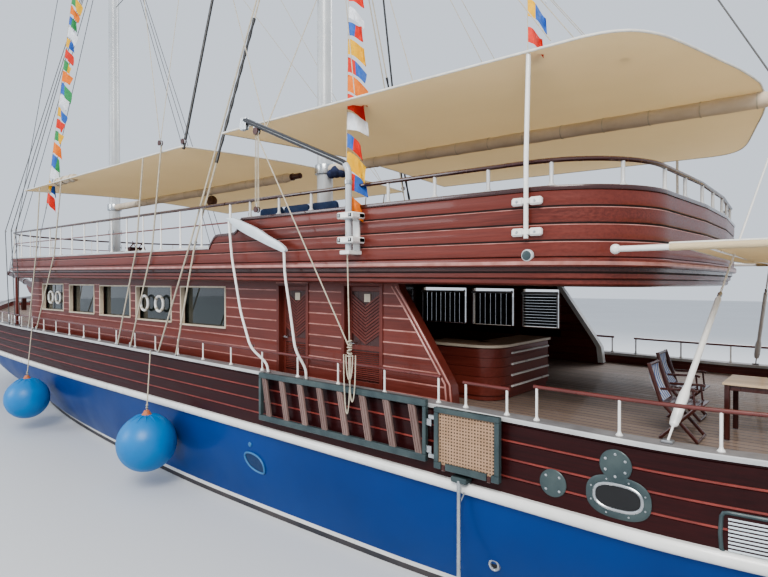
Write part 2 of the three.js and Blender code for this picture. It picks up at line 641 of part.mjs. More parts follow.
// Plan outline of the upper deck: square-cut stern with round corners, round bow; grown by proud.
function upperOutline(proud, from = -Infinity, to = Infinity) {
  const port = [];
  const half = HALF_BEAM;
  const corner = UPPER_STERN_CORNER - UPPER_STERN - 0.12;
  for (let i = 0; i <= 6; i++) {
    const a = ((Math.PI / 2) * i) / 6;
    const x = UPPER_STERN_CORNER - corner * Math.cos(a);
    port.push([x - proud * Math.cos(a), half - corner + corner * Math.sin(a) + proud * Math.sin(a)]);
  }
  port.unshift([UPPER_STERN - proud, 0.9]);
  port.push([STEP_X, half + proud]);
  for (let i = 0; i <= 8; i++) {
    const a = ((Math.PI / 2) * i) / 8;
    const reach = UPPER_BOW - UPPER_BOW_CORNER;
    port.push([UPPER_BOW_CORNER + (reach + proud) * Math.sin(a), (half + proud) * Math.cos(a)]);
  }
  port[port.length - 1][1] = 0;
  const kept = port.filter(([x]) => x >= from && x <= to);
  const starboard = kept.filter(([, y]) => y > 1e-6).map(([x, y]) => [x, -y]).reverse();
  return kept.concat(starboard);
}

const mastHoles = (z0, z1) => MASTS.map(({ x }) => bar([x, 0, z0], [x, 0, z1], MAST_RADIUS + 0.004, 14));
// Fascia planks under the moulding, each set in from the one above it.
const FASCIA = [
  // inset, low, high
  [0.05, 4.71, UPPER_LEVEL - MOULDING_HALF - GAP / M],
  [0.12, 4.63, 4.73],
  [0.22, UPPER_UNDERSIDE, 4.65],
];
const upperSlab = cut(
  join(FASCIA.map(([inset, low, high]) => flatPlate(upperOutline(-inset), [], low, high))),
  mastHoles(3.5, 6));
// Two posts on the cap rail carry the fore overhang of the upper deck.
const FORE_POST = { x: 6.85, y: 3.72, half: 0.05 };
const forePosts = [1, -1].map((side) => {
  const { x, y, half } = FORE_POST;
  return block([x - half, side * y - half, capSeatAt(x, half)],
    [x + half, side * y + half, underside(x) + 0.13]);
});
addNode("upper_deck", join(sheared(upperSlab), forePosts), "darkWood", 0.5);

const UPPER_FLOOR = UPPER_LEVEL + MOULDING_HALF;
addNode("upper_moulding", sheared(cut(
  flatPlate(upperOutline(MOULDING_PROUD), [], UPPER_LEVEL - MOULDING_HALF, UPPER_FLOOR - GAP / M),
  mastHoles(3.5, 6))), "rail", 0.4);

const BULWARK_SEAMS = [5.09, 5.3, 5.51];
// Planked bulwark: high round the stern, low forward of an S-shaped step, one wall all round.
function upperBulwark() {
  const wall = (inset, low, high) => flatPlate(upperOutline(-inset), [], low, high);
  const inside = wall(UPPER_WALL_THICK, UPPER_FLOOR - 0.1, UPPER_CAP_LEVEL + 0.1);
  const seams = BULWARK_SEAMS.map((z) => cut(
    wall(-0.05, z - GROOVE.half, z + GROOVE.half), wall(GROOVE.deep, z - 0.05, z + 0.05)));
  const ring = cut(wall(0, UPPER_FLOOR, UPPER_CAP_LEVEL - 0.05), inside, seams);
  const profile = [[STEP_X - 0.45, UPPER_CAP_LEVEL], [STEP_X - 0.42, 5.66], [STEP_X - 0.3, 5.52],
    [STEP_X - 0.12, 5.36],
    [STEP_X + 0.06, SILL_LEVEL - 0.05], [12, SILL_LEVEL - 0.05], [12, 6.5], [STEP_X - 0.45, 6.5]];
  return cut(ring, sidePlate(profile, [], -5, 5));
}
function ringStrip(outer, inner, z0, z1, x0, x1) {
  const ring = cut(flatPlate(upperOutline(outer), [], z0, z1),
    flatPlate(upperOutline(-inner), [], z0 - 0.1, z1 + 0.1));
  return ring.intersect(solidOf(block([x0, -6, 2], [x1, 6, 9])));
}
const bulwarkCap = ringStrip(0.02, 0.12, UPPER_CAP_LEVEL - 0.06, UPPER_CAP_LEVEL, -20, STEP_X - 0.46);
addNode("upper_bulwark", sheared(join(upperBulwark(), bulwarkCap)), "mahogany", 0.3);
addNode("upper_sill", sheared(ringStrip(0.03, 0.12, SILL_LEVEL - 0.05 + GAP / M, SILL_LEVEL,
  STEP_X + 0.08, 20)), "cap", 0.5);

// A bench inside the high bulwark, down both sides and round the stern: a base and a seat that overhangs it.
const BENCH = { fore: -6, back: 0.085, base: 0.5, seat: 0.56, under: 0.36, top: 0.42 };
addNode("upper_bench", sheared(join(
  ringStrip(-BENCH.back, BENCH.base, UPPER_FLOOR, UPPER_FLOOR + BENCH.under + 0.01, -20, BENCH.fore),
  ringStrip(-BENCH.back, BENCH.seat, UPPER_FLOOR + BENCH.under, UPPER_FLOOR + BENCH.top, -20, BENCH.fore))),
"mahogany", 0.4);

// Rails of the upper deck: square-section runs that follow the outline, on round stanchions.
function outlinePoints(inset, from, to, spacing) {
  const edge = upperOutline(-inset).map(([x, y]) => new THREE.Vector2(x, y));
  edge.push(edge[0].clone());
  const points = [];
  let carry = 0;
  for (let i = 0; i + 1 < edge.length; i++) {
    const length = edge[i].distanceTo(edge[i + 1]);
    let at = carry;
    while (at < length) {
      const p = edge[i].clone().lerp(edge[i + 1], at / length);
      if (p.x >= from && p.x <= to) points.push([p.x, p.y]);
      at += spacing;
    }
    carry = at - length;
  }
  return points;
}
function stanchions(points, low, high) {
  return points.map(([x, y]) => bar([x, y, low], [x, y, high], STANCHION_RADIUS, 5));
}
const railRun = (z, x0, x1, half) => ringStrip(-0.06 + half, 0.06 + half, z - half, z + half, x0, x1);
addNode("upper_rail_aft", sheared(join(
  railRun(UPPER_RAIL_LEVEL, -20, STEP_X - 0.5, RAIL_RADIUS),
  stanchions(outlinePoints(0.06, -20, STEP_X - 0.52, 1.05), UPPER_CAP_LEVEL + GAP / M,
    UPPER_RAIL_LEVEL))), "rail", 0.4);
addNode("upper_rail_forward", sheared(join(
  railRun(UPPER_RAIL_LEVEL, STEP_X + 0.1, 20, RAIL_RADIUS),
  railRun(5.72, STEP_X + 0.1, 20, 0.016),
  stanchions(outlinePoints(0.06, STEP_X + 0.12, 20, 0.84), SILL_LEVEL + GAP / M, UPPER_RAIL_LEVEL))),
    "rail", 0.4);

// Booms lie under the awnings and reach aft from each mast.
const BOOMS = [
  // name, mast, from x, to x, height at the origin, slope
  { name: "main_boom", mast: MASTS[0], from: MAIN_MAST_X - 0.23, to: -3.7, level: 7.459, slope: 0.0079 },
  { name: "mizzen_boom", mast: MASTS[1], from: MIZZEN_MAST_X - 0.23, to: -14.85, level: 7.535,
    slope: 0.0179 },
];
const boomLevel = (boom, x) => boom.level + boom.slope * x;
for (const boom of BOOMS) {
  const spar = bar([boom.from, 0, boomLevel(boom, boom.from)], [boom.to, 0, boomLevel(boom, boom.to)],
    BOOM_RADIUS, 12);
  const gooseneck = boomLevel(boom, boom.mast.x);
  const band = mastBand(boom.mast, gooseneck - 0.12, gooseneck + 0.12, 0.06);
  addNode(boom.name, cut(join(spar, band.outside), band.inside), "cloth", 0.8);
}

// Awnings: closed sheets, crowned over the boom, by stations of [x, half width].
const CLOTH = 0.03;
function awning(stations, boom, edgeDrop) {
  const rings = stations.map(([x, half]) => {
    const top = boomLevel(boom, x) + BOOM_RADIUS + 0.0004;
    const shares = [-1, -0.6, -0.25, 0, 0.25, 0.6, 1];
    const lower = shares.map((s) => [x, s * half, top - edgeDrop * Math.abs(s * half / 4) ** 1.4]);
    return lower.concat(lower.map(([px, y, z]) => [px, y, z + CLOTH]).reverse());
  });
  return loft(rings);
}
const aftEnd = [0.15, 0.4, 0.65, 0.85, 1].map((s) => [-13.0 - 1.38 * s, 3.95 * (1 - s + 0.001) ** 0.4]);
const aftAwning = [[-5.8, 3.95], [-8, 3.95], [-10.5, 3.95], [-13.0, 3.95], ...aftEnd].reverse();
aftAwning[0][1] = 0.5;
const forwardAwning = [[-4.28, 3.9], [-2, 3.9], [0.5, 3.9], [3, 3.9], [5.5, 3.9]];
addNode("awning_aft", awning(aftAwning, BOOMS[1], 0.16), "cloth", 0.9);
addNode("awning_forward", awning(forwardAwning, BOOMS[0], 0.16), "cloth", 0.9);

// Awning posts stand outside the bulwark on two brackets each.
const POST_X = -12.3;
const POST_Y = 3.97;
function awningPost(side) {
  const slope = UPPER_SLOPE * POST_X;
  const edge = boomLevel(BOOMS[1], POST_X) + BOOM_RADIUS - 0.16 * (POST_Y / 4) ** 1.4;
  const post = bar([POST_X, side * POST_Y, 5.0], [POST_X, side * POST_Y * 0.985, edge - 0.0028], 0.03, 8);
  const brackets = [5.22, 5.6].map((z) =>
    block([POST_X - 0.2, side > 0 ? 3.9 + GAP / M : -POST_Y - 0.03, z + slope - 0.05],
      [POST_X + 0.2, side > 0 ? POST_Y + 0.03 : -3.9 - GAP / M, z + slope + 0.05]));
  return join(post, brackets);
}
addNode("awning_post_port", awningPost(1), "white", 0.4);
addNode("awning_post_starboard", awningPost(-1), "white", 0.4);

// Awning over the aft deck, on a tube frame with two posts at the stern.
const STERN_AWNING = { fore: -13.3, aft: -16.7, half: 3.75, level: 4.86 };
const STERN_TUBE = 0.035;
function sternFrame() {
  const { fore, aft, half, level } = STERN_AWNING;
  const corner = (x, side) => [x, side * half, level - 0.02];
  const rim = tube([corner(fore, 1), corner(aft, 1), corner(aft, -1), corner(fore, -1)], STERN_TUBE, 8);
  const knobs = [1, -1].map((side) => ball(corner(fore, side), 0.06, 8));
  const posts = [1, -1].map((side) => bar([-16.2, side * 3.32, capSeatAt(-16.2, 0.06) + 0.015],
    [-16.2, side * (half - 0.02), level - 0.03], 0.03, 8));
  const pads = [1, -1].map((side) => {
    const seat = capSeatAt(-16.2, 0.06);
    return block([-16.26, side * 3.32 - 0.05, seat], [-16.14, side * 3.32 + 0.05, seat + 0.03]);
  });
  return join(rim, knobs, posts, pads);
}
addNode("stern_awning_frame", sternFrame(), "white", 0.4);
function sternAwning() {
  const { fore, aft, half, level } = STERN_AWNING;
  const rings = [-1, -0.85, -0.6, -0.25, 0.25, 0.6, 0.85, 1].map((s) => {
    const seat = level - 0.02 + STERN_TUBE * Math.cos(Math.PI / 8) + 2 * GAP / M;
    const sag = 0.06 * (1 - s * s);
    const front = fore - 0.08 - 0.6 * (1 - Math.abs(s) ** 3);
    const y = s * half;
    return [[aft, y, seat], [front, y, seat - sag], [front, y, seat - sag + CLOTH], [aft, y, seat + CLOTH]];
  });
  return loftAlongY(rings);
}
// The same as loft for sections that lie in the XZ plane.
function loftAlongY(rings) {
  const turned = rings.map((ring) => ring.map(([x, y, z]) => [y, x, z]));
  const geometry = loft(turned);
  const p = geometry.attributes.position;
  for (let i = 0; i < p.count; i++) p.setXYZ(i, p.getY(i), p.getX(i), p.getZ(i));
  return geometryOf(solidOf(geometry));
}
const guySlots = [1, -1].map((side) =>
  bar([-13.86, side * 3.76, 2.75], [-14.7, side * 0.14, 7.3], 0.06, 8));
addNode("awning_stern", cut(sternAwning(), guySlots), "cloth", 0.9);

// Standing rigging: a band at the hounds and at the head of each mast, a line that joins the two, shrouds to
// both sides, and the stays in the middle line.
const CHAIN_Y = 4.02;
const headOf = (mast) => mast.top - 0.6;
const CHAIN_FOOT = 3.915;
function shroudSet(mast, feet, extra) {
  const hounds = mast.hounds - 0.3;
  const head = headOf(mast);
  const bands = [mastBand(mast, hounds - 0.1, hounds + 0.1, 0.07),
    mastBand(mast, head - 0.05, head + 0.05, 0.05)];
  const pieces = bands.map((band) => cut(band.outside, band.inside));
  const halyard = (reach, z) => [mast.x - reach, reach, z];
  pieces.push(bar(halyard(0.112, head), halyard(0.162, hounds + 0.02), SHROUD_RADIUS, 6));
  for (const [i, x] of feet.entries()) {
    for (const side of [1, -1]) {
      const eye = [mast.x + 0.08 * (i - 1), side * (MAST_RADIUS + 0.005), hounds - 0.03 * i];
      const knee = [x, side * CHAIN_Y, UPPER_RAIL_LEVEL + UPPER_SLOPE * x + 0.05];
      const foot = [x, side * CHAIN_FOOT, capSeatAt(x, 0.02)];
      pieces.push(tube([foot, knee, eye], SHROUD_RADIUS, 6));
    }
  }
  for (const stay of extra) pieces.push(bar(...stay, SHROUD_RADIUS, 5));
  return join(pieces);
}
const MAIN_SHROUDS = [5.95, 6.4, 7.0];
const MIZZEN_SHROUDS = [-5.55, -5.2, -4.85];
const mainTop = MASTS[0].hounds - 0.3;
const mizzenTop = MASTS[1].hounds - 0.3;
const collar = MAST_RADIUS + 0.02;
const SPRIT_EYE = [20.45, 0, 5.11];
const STAY_SIDE = 0.012;
addNode("rigging_main", shroudSet(MASTS[0], MAIN_SHROUDS, [
  [[MAIN_MAST_X + collar, STAY_SIDE, mainTop], SPRIT_EYE],
  [[MAIN_MAST_X + collar, -STAY_SIDE, mainTop - 0.06], [17.3, 0, 4.62]],
  [[MAIN_MAST_X + 0.15, STAY_SIDE, headOf(MASTS[0]) + 0.03], [20.56, 0, 5.13]],
]), "rope", 0.8);
// The topping lift runs from the head of the mizzen mast to the end of its boom.
addNode("rigging_mizzen", shroudSet(MASTS[1], MIZZEN_SHROUDS, [
  [[MIZZEN_MAST_X - 0.15, STAY_SIDE, headOf(MASTS[1])],
    [-14.55, 0, boomLevel(BOOMS[1], -14.55) + BOOM_RADIUS + 0.012]],
  [[MIZZEN_MAST_X + collar, STAY_SIDE, mizzenTop], [MAIN_MAST_X - 0.225, 0, 15.6]],
]), "rope", 0.8);

// Guys from the rails to a band on the end of the mizzen boom, with a thick screw at each foot.
function boomGuys() {
  const level = boomLevel(BOOMS[1], -14.7);
  const spar = [boomLevel(BOOMS[1], -14.4), boomLevel(BOOMS[1], -15)];
  const band = cut(bar([-14.66, 0, level], [-14.74, 0, level], BOOM_RADIUS + 0.03, 12),
    bar([-14.4, 0, spar[0]], [-15, 0, spar[1]], BOOM_RADIUS + 2 * GAP / M, 12));
  const sides = [1, -1].flatMap((side) => {
    const foot = new THREE.Vector3(-13.86, side * 3.76, capSeatAt(-13.86, 0.06) + 0.015);
    const end = new THREE.Vector3(-14.7, side * (BOOM_RADIUS + 0.015), level);
    const at = (share) => foot.clone().lerp(end, share).toArray();
    const pad = block([foot.x - 0.06, foot.y - 0.05, foot.z - 0.015],
      [foot.x + 0.06, foot.y + 0.05, foot.z + 0.015]);
    return [pad, bar(at(0), at(1), 0.014, 6), bar(at(0.035), at(0.12), 0.055, 10),
      bar(at(0.12), at(0.34), 0.035, 8)];
  });
  return join(band, sides);
}
addNode("boom_guys", boomGuys(), "white", 0.5);

// Davit outside the port bulwark: a post in two brackets, with a long arm forward and up.
const DAVIT = { x: -9.41, y: 4.1, elbow: 6.28, tip: [-6.78, 7.46], radius: 0.052 };
function davitBracket() {
  const slope = UPPER_SLOPE * DAVIT.x;
  const cheeks = [5.22, 5.6].map((z) => block(
    [DAVIT.x - 0.17, HALF_BEAM + GAP / M, z + slope - 0.05],
      [DAVIT.x + 0.17, DAVIT.y + 0.1, z + slope + 0.05]));
  const back = block([DAVIT.x - 0.07, HALF_BEAM + GAP / M, 5.22 + slope],
    [DAVIT.x + 0.07, HALF_BEAM + 0.04, 5.6 + slope]);
  const step = block(
    [DAVIT.x - 0.1, HALF_BEAM + GAP / M, 5.0 + slope], [DAVIT.x + 0.1, DAVIT.y + 0.1, 5.06 + slope]);
  const lowBack = block([DAVIT.x - 0.07, HALF_BEAM + GAP / M, 5.0 + slope],
    [DAVIT.x + 0.07, HALF_BEAM + 0.04, 5.3 + slope]);
  const bore = bar([DAVIT.x, DAVIT.y, 5.09 + slope], [DAVIT.x, DAVIT.y, 7], DAVIT.radius + 0.002, 16);
  return cut(join(cheeks, back, step, lowBack), bore);
}
addNode("davit_bracket", davitBracket(), "white", 0.4);
function davit() {
  const slope = UPPER_SLOPE * DAVIT.x;
  const foot = [DAVIT.x, DAVIT.y, 5.06 + slope + GAP / M];
  const elbow = [DAVIT.x, DAVIT.y, DAVIT.elbow];
  const tip = [DAVIT.tip[0], DAVIT.y, DAVIT.tip[1]];
  const sheave = bar([DAVIT.tip[0] + 0.06, DAVIT.y - 0.05, DAVIT.tip[1] - 0.1],
    [DAVIT.tip[0] + 0.06, DAVIT.y + 0.05, DAVIT.tip[1] - 0.1], 0.09, 12);
  const cheek = block([DAVIT.tip[0] - 0.06, DAVIT.y - 0.04, DAVIT.tip[1] - 0.18],
    [DAVIT.tip[0] + 0.1, DAVIT.y + 0.04, DAVIT.tip[1] + 0.05]);
  return join(tube([foot, elbow, tip], DAVIT.radius, 12), sheave, cheek);
}
addNode("davit", davit(), "steel", 0.4);

// Boarding hoop: two raking tubes from the rail, with a curved panel between their heads.
const HOOP_PANEL = [
  // x, z
  [-6.0, 5.73],
  [-6.33, 5.5],
  [-6.9, 5.23],
  [-7.74, 4.98],
  [-7.62, 5.15],
  [-6.9, 5.5],
  [-6.42, 5.7],
];
function boardingHoop() {
  const y = 4.08;
  const fore = [[-7.19, 3.885, capSeatAt(-7.19, 0.03)], [-7.19, 3.885, 2.96], [-7.12, y, 3.3],
    [-6.6, y, 4.95], [-6.17, y, 5.62]];
  const aft = [[-8.16, 3.885, capSeatAt(-8.16, 0.03)], [-8.16, 3.885, 2.96], [-8.12, y, 3.3],
    [-7.95, y, 4.4], [-7.66, y, 5.07]];
  const panel = sidePlate(HOOP_PANEL, [], y - 0.034, y + 0.035);
  return join(tube(fore, 0.028, 8), tube(aft, 0.028, 8), panel);
}
addNode("boarding_hoop", boardingHoop(), "white", 0.4);

function boardingPlatform() {
  const { aft, fore, low, high, inner, outer } = PLATFORM;
  const frame = cut(block([aft, inner, low], [fore, outer, high]),
    block([aft + 0.07, inner - 0.1, low + 0.07], [fore - 0.07, outer + 0.1, high - 0.07]));
  const panel = block([aft + 0.06, inner + 0.025, low + 0.06], [fore - 0.06, inner + 0.045, high - 0.06]);
  const lugInner = [aft + 0.18, fore - 0.18].map((v) => v + GAP / M);
  const barrel = bar([lugInner[0], PLATFORM_AXIS.y, PLATFORM_AXIS.z],
    [lugInner[1] - 2 * GAP / M, PLATFORM_AXIS.y, PLATFORM_AXIS.z], HINGE_RADIUS, 10);
  const slots = [aft + 0.12, fore - 0.18].map((x) => block([x - 0.006, inner - 0.1, low - 0.1],
    [x + 0.06 + (x > aft + 0.2 ? 0.006 : GAP / M), outer + 0.1, low + 0.09]));
  const ears = [low + 0.12, high - 0.18].map((z) => block([fore - 0.01, inner + 0.01, z],
    [LADDER_AXIS_X + 0.03, outer - 0.01, z + 0.06]));
  return join(cut(join(frame, panel), slots), barrel, ears);
}
addNode("boarding_platform", boardingPlatform(), "steel", 0.5);

// A strut under the platform, held to the planking by a bracket, down into the water.
const STRUT = { x: -11.38, y: 4.04, radius: 0.028, head: 1.81, foot: -0.8 };
function platformStrut() {
  const { x, y, radius, head, foot } = STRUT;
  const bracket = block([x - 0.12, HALF_BEAM + GAP / M, head - 0.035], [x + 0.12, y + 0.02, head + 0.04]);
  return join(bracket, bar([x, y, foot], [x, y, head], radius, 12));
}
addNode("platform_strut", platformStrut(), "steel", 0.5);

const TREADS = 8;
function boardingLadder() {
  const { aft, fore, low, high } = LADDER;
  const { inner, outer } = PLATFORM;
  const stiles = [low, high - 0.1].map((z) => block([aft, inner, z], [fore, outer, z + 0.1]));
  const treads = Array.from({ length: TREADS }, (_, i) => {
    const x = aft + 0.2 + ((fore - aft - 0.4) * i) / (TREADS - 1);
    return block([x - 0.1, inner + 0.015, low + 0.05], [x + 0.1, outer - 0.015, high - 0.05]);
  });
  const ends = [aft, fore - 0.06].map((x) => block([x, inner, low], [x + 0.06, outer, high]));
  const pintles = [PLATFORM.low + 0.18, PLATFORM.high - 0.18].map((z, i) => {
    const z0 = i === 0 ? z + GAP / M : z - 0.1 - GAP / M;
    return join(bar([LADDER_AXIS_X, 4.02, z0], [LADDER_AXIS_X, 4.02, z0 + 0.1], HINGE_RADIUS, 10),
      block([LADDER_AXIS_X, 4.0, z0], [aft + 0.01, 4.04, z0 + 0.1]));
  });
  return join(stiles, treads, ends, pintles);
}
addNode("boarding_ladder", boardingLadder(), "steel", 0.5);

// Ball fenders, each on a taut rope from the cap rail.
for (const [name, x, y, z, radius] of [["fender_aft", -3.82, 4.5, 1.03, 0.61],
  ["fender_forward", 3.53, 4.47, 1.0, 0.6]]) {
  const seat = capSeatAt(x, 0.04);
  const eye = block([x - 0.04, HALF_BEAM - 0.06, seat],
    [x + 0.04, HALF_BEAM + CAP_PROUD + 0.03, seat + 0.03]);
  const rope = bar([x, y, z + radius - 0.02], [x, HALF_BEAM + CAP_PROUD + 0.02, seat + 0.01], 0.014, 6);
  const neck = bar([x, y, z + radius - 0.03], [x, y, z + radius + 0.09], 0.09, 12, 0.06);
  addNode(name, join(ball([x, y, z], radius, 20), neck, rope, eye), "fender", 0.5);
}

// Lower hand rails on the cap: [from x, to x, height over the cap], with stanchion spacing.
const LOWER_RAIL_SPACING = 1.01;
const RAIL_INSET = 0.1;
function lowerRail(side, from, to, height) {
  const count = Math.max(1, Math.round((to - from) / LOWER_RAIL_SPACING));
  const at = (share, z) => {
    const x = from + (to - from) * share;
    const seat = capSeatAt(x, 0.02);
    return [x, side * insetY(lengthAt(x, seat), seat, RAIL_INSET), seat + z];
  };
  const shares = Array.from({ length: count + 1 }, (_, i) => i / count);
  const run = tube(shares.map((s) => at(s, height)), RAIL_RADIUS, 6);
  const inner = 0.04 / (to - from);
  const posts = shares.map((s) => Math.min(1 - inner, Math.max(inner, s)));
  return join(run, posts.map((s) => bar(at(s, 0), at(s, height), STANCHION_RADIUS, 5)));
}
addNode("lower_rail_port", lowerRail(1, -10.93, 13.2, 0.37), "rail", 0.4);
addNode("lower_rail_gate", lowerRail(1, -12.0, -11.3, 0.34), "rail", 0.4);
addNode("lower_rail_aft_port", lowerRail(1, -15.4, -12.33, 0.42), "rail", 0.4);
addNode("lower_rail_starboard", lowerRail(-1, -10.93, 13.2, 0.37), "rail", 0.4);
addNode("lower_rail_aft_starboard", lowerRail(-1, -15.4, -11.4, 0.37), "rail", 0.4);

// Bar counter in the open aft room: an L with a round corner.
function barCounter() {
  const top = deckSeatAt(-10.5) + 0.93;
  const outline = (grow) => [
    [-11.0 - grow, 0.3], [-11.0 - grow, 2.05], [-10.92 - grow, 2.25 + grow], [-10.7, 2.35 + grow],
    [-9.65, 2.35 + grow],
    [-9.65, 1.75], [-10.4, 1.75], [-10.4, 0.3]];
  const base = flatPlate(outline(0), [], deckSeatAt(-11.2) - 0.02, top - 0.05);
  const counter = flatPlate(outline(0.04), [], top - 0.05, top);
  const underDeck = sidePlate([[-12.5, 1], [-7.9, 1], [-7.9, deckSeatAt(-7.9)],
    [-12.5, deckSeatAt(-12.5)]], [], -1, 4);
  return cut(join(base, counter), underDeck);
}
addNode("bar_counter", barCounter(), "mahogany", 0.3);

// Aft deck furniture: a table and folding chairs.
function deckTable() {
  const x = -14.7;
  const y = 1.9;
  const foot = deckSeatAt(x, 0.55);
  const top = block([x - 0.55, y - 0.4, foot + 0.68], [x + 0.55, y + 0.4, foot + 0.72]);
  const legs = [[-0.5, -0.35], [-0.5, 0.35], [0.5, -0.35], [0.5, 0.35]].map(([dx, dy]) =>
    block([x + dx - 0.03, y + dy - 0.03, foot], [x + dx + 0.03, y + dy + 0.03, foot + 0.7]));
  return join(top, legs);
}
addNode("deck_table", deckTable(), "teak", 0.6);
const CHAIRS = [
  // x, y, facing along +x or -x
  [-13.55, 1.2, -1],
  [-13.75, 2.45, -1],
  [-15.9, 1.6, 1],
];
CHAIRS.forEach(([x, y, facing], i) => {
  const foot = deckSeatAt(x, 0.24);
  const place = (dx, dy, z) => [x + facing * dx, y + dy, foot + z];
  const legs = [-0.24, 0.24].flatMap((dy) => [
    bar(place(-0.22, dy, 0.02), place(0.2, dy, 0.46), 0.018, 5),
      bar(place(0.2, dy, 0.02), place(-0.2, dy, 0.46), 0.018, 5),
    bar(place(-0.2, dy, 0.44), place(-0.36, dy, 0.95), 0.018, 5)]);
  const feet = [-0.22, 0.2].map((dx) => {
    const middle = x + facing * dx;
    return block([middle - 0.02, y - 0.26, deckSeatAt(middle, 0.02)],
      [middle + 0.02, y + 0.26, foot + 0.035]);
  });
  const lowest = Math.min(facing * -0.23, facing * 0.23);
  const seat = block([x + lowest, y - 0.26, foot + 0.44], [x + lowest + 0.46, y + 0.26, foot + 0.47]);
  const back = bar(place(-0.3, -0.25, 0.78), place(-0.3, 0.25, 0.78), 0.02, 5);
  const head = bar(place(-0.355, -0.25, 0.93), place(-0.355, 0.25, 0.93), 0.02, 6);
  addNode("deck_chair_" + (i + 1), join(legs, feet, seat, back, head), "chair", 0.5);
});

// Steps from the foredeck to the upper deck, beside the main mast.
function bowStair() {
  const steps = 7;
  const base = deckSeatAt(10.3);
  const top = UPPER_FLOOR + UPPER_SLOPE * 8.9 - 0.1;
  const stringers = [0.75, 1.45].map((y) => {
    const plate = [[10.3, base], [10.05, base], [8.95, top], [9.1, top]];
    return sidePlate(plate, [], y - 0.02, y + 0.02);
  });
  const treads = Array.from({ length: steps }, (_, i) => {
    const share = (i + 1) / (steps + 1);
    const x = 10.18 + (9.05 - 10.18) * share;
    const z = base + (top - base) * share;
    return block([x - 0.1, 0.74, z - 0.015], [x + 0.1, 1.46, z + 0.015]);
  });
  return join(stringers, treads);
}
addNode("bow_stair", bowStair(), "mahogany", 0.4);

// Windlass on the foredeck.
function windlass() {
  const x = 12.3;
  const foot = deckSeatAt(x, 0.35);
  const bed = block([x - 0.35, -0.45, foot], [x + 0.35, 0.45, foot + 0.18]);
  const drum = bar([x, -0.6, foot + 0.36], [x, 0.6, foot + 0.36], 0.14, 12);
  const cheeks = [-0.32, 0.32].map((y) => block([x - 0.2, y - 0.05, foot + 0.1],
    [x + 0.2, y + 0.05, foot + 0.5]));
  return join(bed, drum, cheeks);
}
addNode("windlass", windlass(), "steel", 0.5);

// Steering wheel on a pedestal at the fore end of the upper deck.
const HELM = { x: 5.9, depth: 0.25, axle: 0.72 };
const HELM_FOOT = UPPER_FLOOR + UPPER_SLOPE * (HELM.x + HELM.depth);
function helmPedestal() {
  return join(block([HELM.x - 0.12, -0.28, HELM_FOOT], [HELM.x + HELM.depth, 0.28, HELM_FOOT + 0.85]),
    bar([HELM.x - 0.16, 0, HELM_FOOT + HELM.axle], [HELM.x, 0, HELM_FOOT + HELM.axle], 0.05, 12));
}
addNode("helm_pedestal", helmPedestal(), "mahogany", 0.4);
function helmWheel() {
  const z = HELM_FOOT + HELM.axle;
  const x = HELM.x - 0.16 - GAP / M - 0.03;
  const rim = new THREE.TorusGeometry(0.3 * M, 0.02 * M, 6, 24).rotateY(Math.PI / 2).translate(x * M, 0,
    z * M);
  const hub = bar([x - 0.03, 0, z], [x + 0.03, 0, z], 0.06, 12);
  const spokes = [0, 1, 2, 3, 4, 5].map((i) => {
    const a = (Math.PI / 3) * i;
    return bar([x, 0, z], [x, 0.42 * Math.cos(a), z + 0.42 * Math.sin(a)], 0.014, 6);
  });
  return join(rim, hub, spokes);
}
addNode("helm_wheel", helmWheel(), "mahogany", 0.4);

export default group;
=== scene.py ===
import bmesh
import bpy
import numpy as np
from math import copysign, cos, hypot, pi, radians, sin, sqrt, tan
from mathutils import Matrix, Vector
from numpy.linalg import norm


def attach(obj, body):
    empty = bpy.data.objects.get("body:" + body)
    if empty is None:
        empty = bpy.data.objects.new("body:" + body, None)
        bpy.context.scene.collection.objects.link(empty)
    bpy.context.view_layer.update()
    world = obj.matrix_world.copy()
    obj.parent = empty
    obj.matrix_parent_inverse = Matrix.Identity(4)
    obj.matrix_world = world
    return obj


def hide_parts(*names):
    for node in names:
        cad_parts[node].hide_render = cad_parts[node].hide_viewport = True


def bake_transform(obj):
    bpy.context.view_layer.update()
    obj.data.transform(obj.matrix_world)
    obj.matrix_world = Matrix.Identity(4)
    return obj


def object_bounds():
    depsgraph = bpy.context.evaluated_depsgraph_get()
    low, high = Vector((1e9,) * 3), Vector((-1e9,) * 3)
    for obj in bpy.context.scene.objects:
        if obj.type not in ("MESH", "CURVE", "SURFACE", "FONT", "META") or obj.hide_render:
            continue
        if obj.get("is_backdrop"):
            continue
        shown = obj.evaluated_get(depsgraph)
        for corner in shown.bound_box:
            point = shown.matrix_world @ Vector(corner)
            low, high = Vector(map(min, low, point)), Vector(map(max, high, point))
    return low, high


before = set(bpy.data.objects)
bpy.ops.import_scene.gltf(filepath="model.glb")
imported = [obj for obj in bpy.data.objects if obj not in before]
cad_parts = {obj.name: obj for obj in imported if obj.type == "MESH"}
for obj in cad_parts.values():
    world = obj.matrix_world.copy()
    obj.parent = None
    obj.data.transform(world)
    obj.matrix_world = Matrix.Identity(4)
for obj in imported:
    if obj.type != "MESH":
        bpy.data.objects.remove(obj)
firstBounds = [list(corner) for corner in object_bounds()]
rng = np.random.default_rng(7)
scene = bpy.context.scene


def placed(name, data):
    made = bpy.data.objects.new(name, data)
    scene.collection.objects.link(made)
    return made


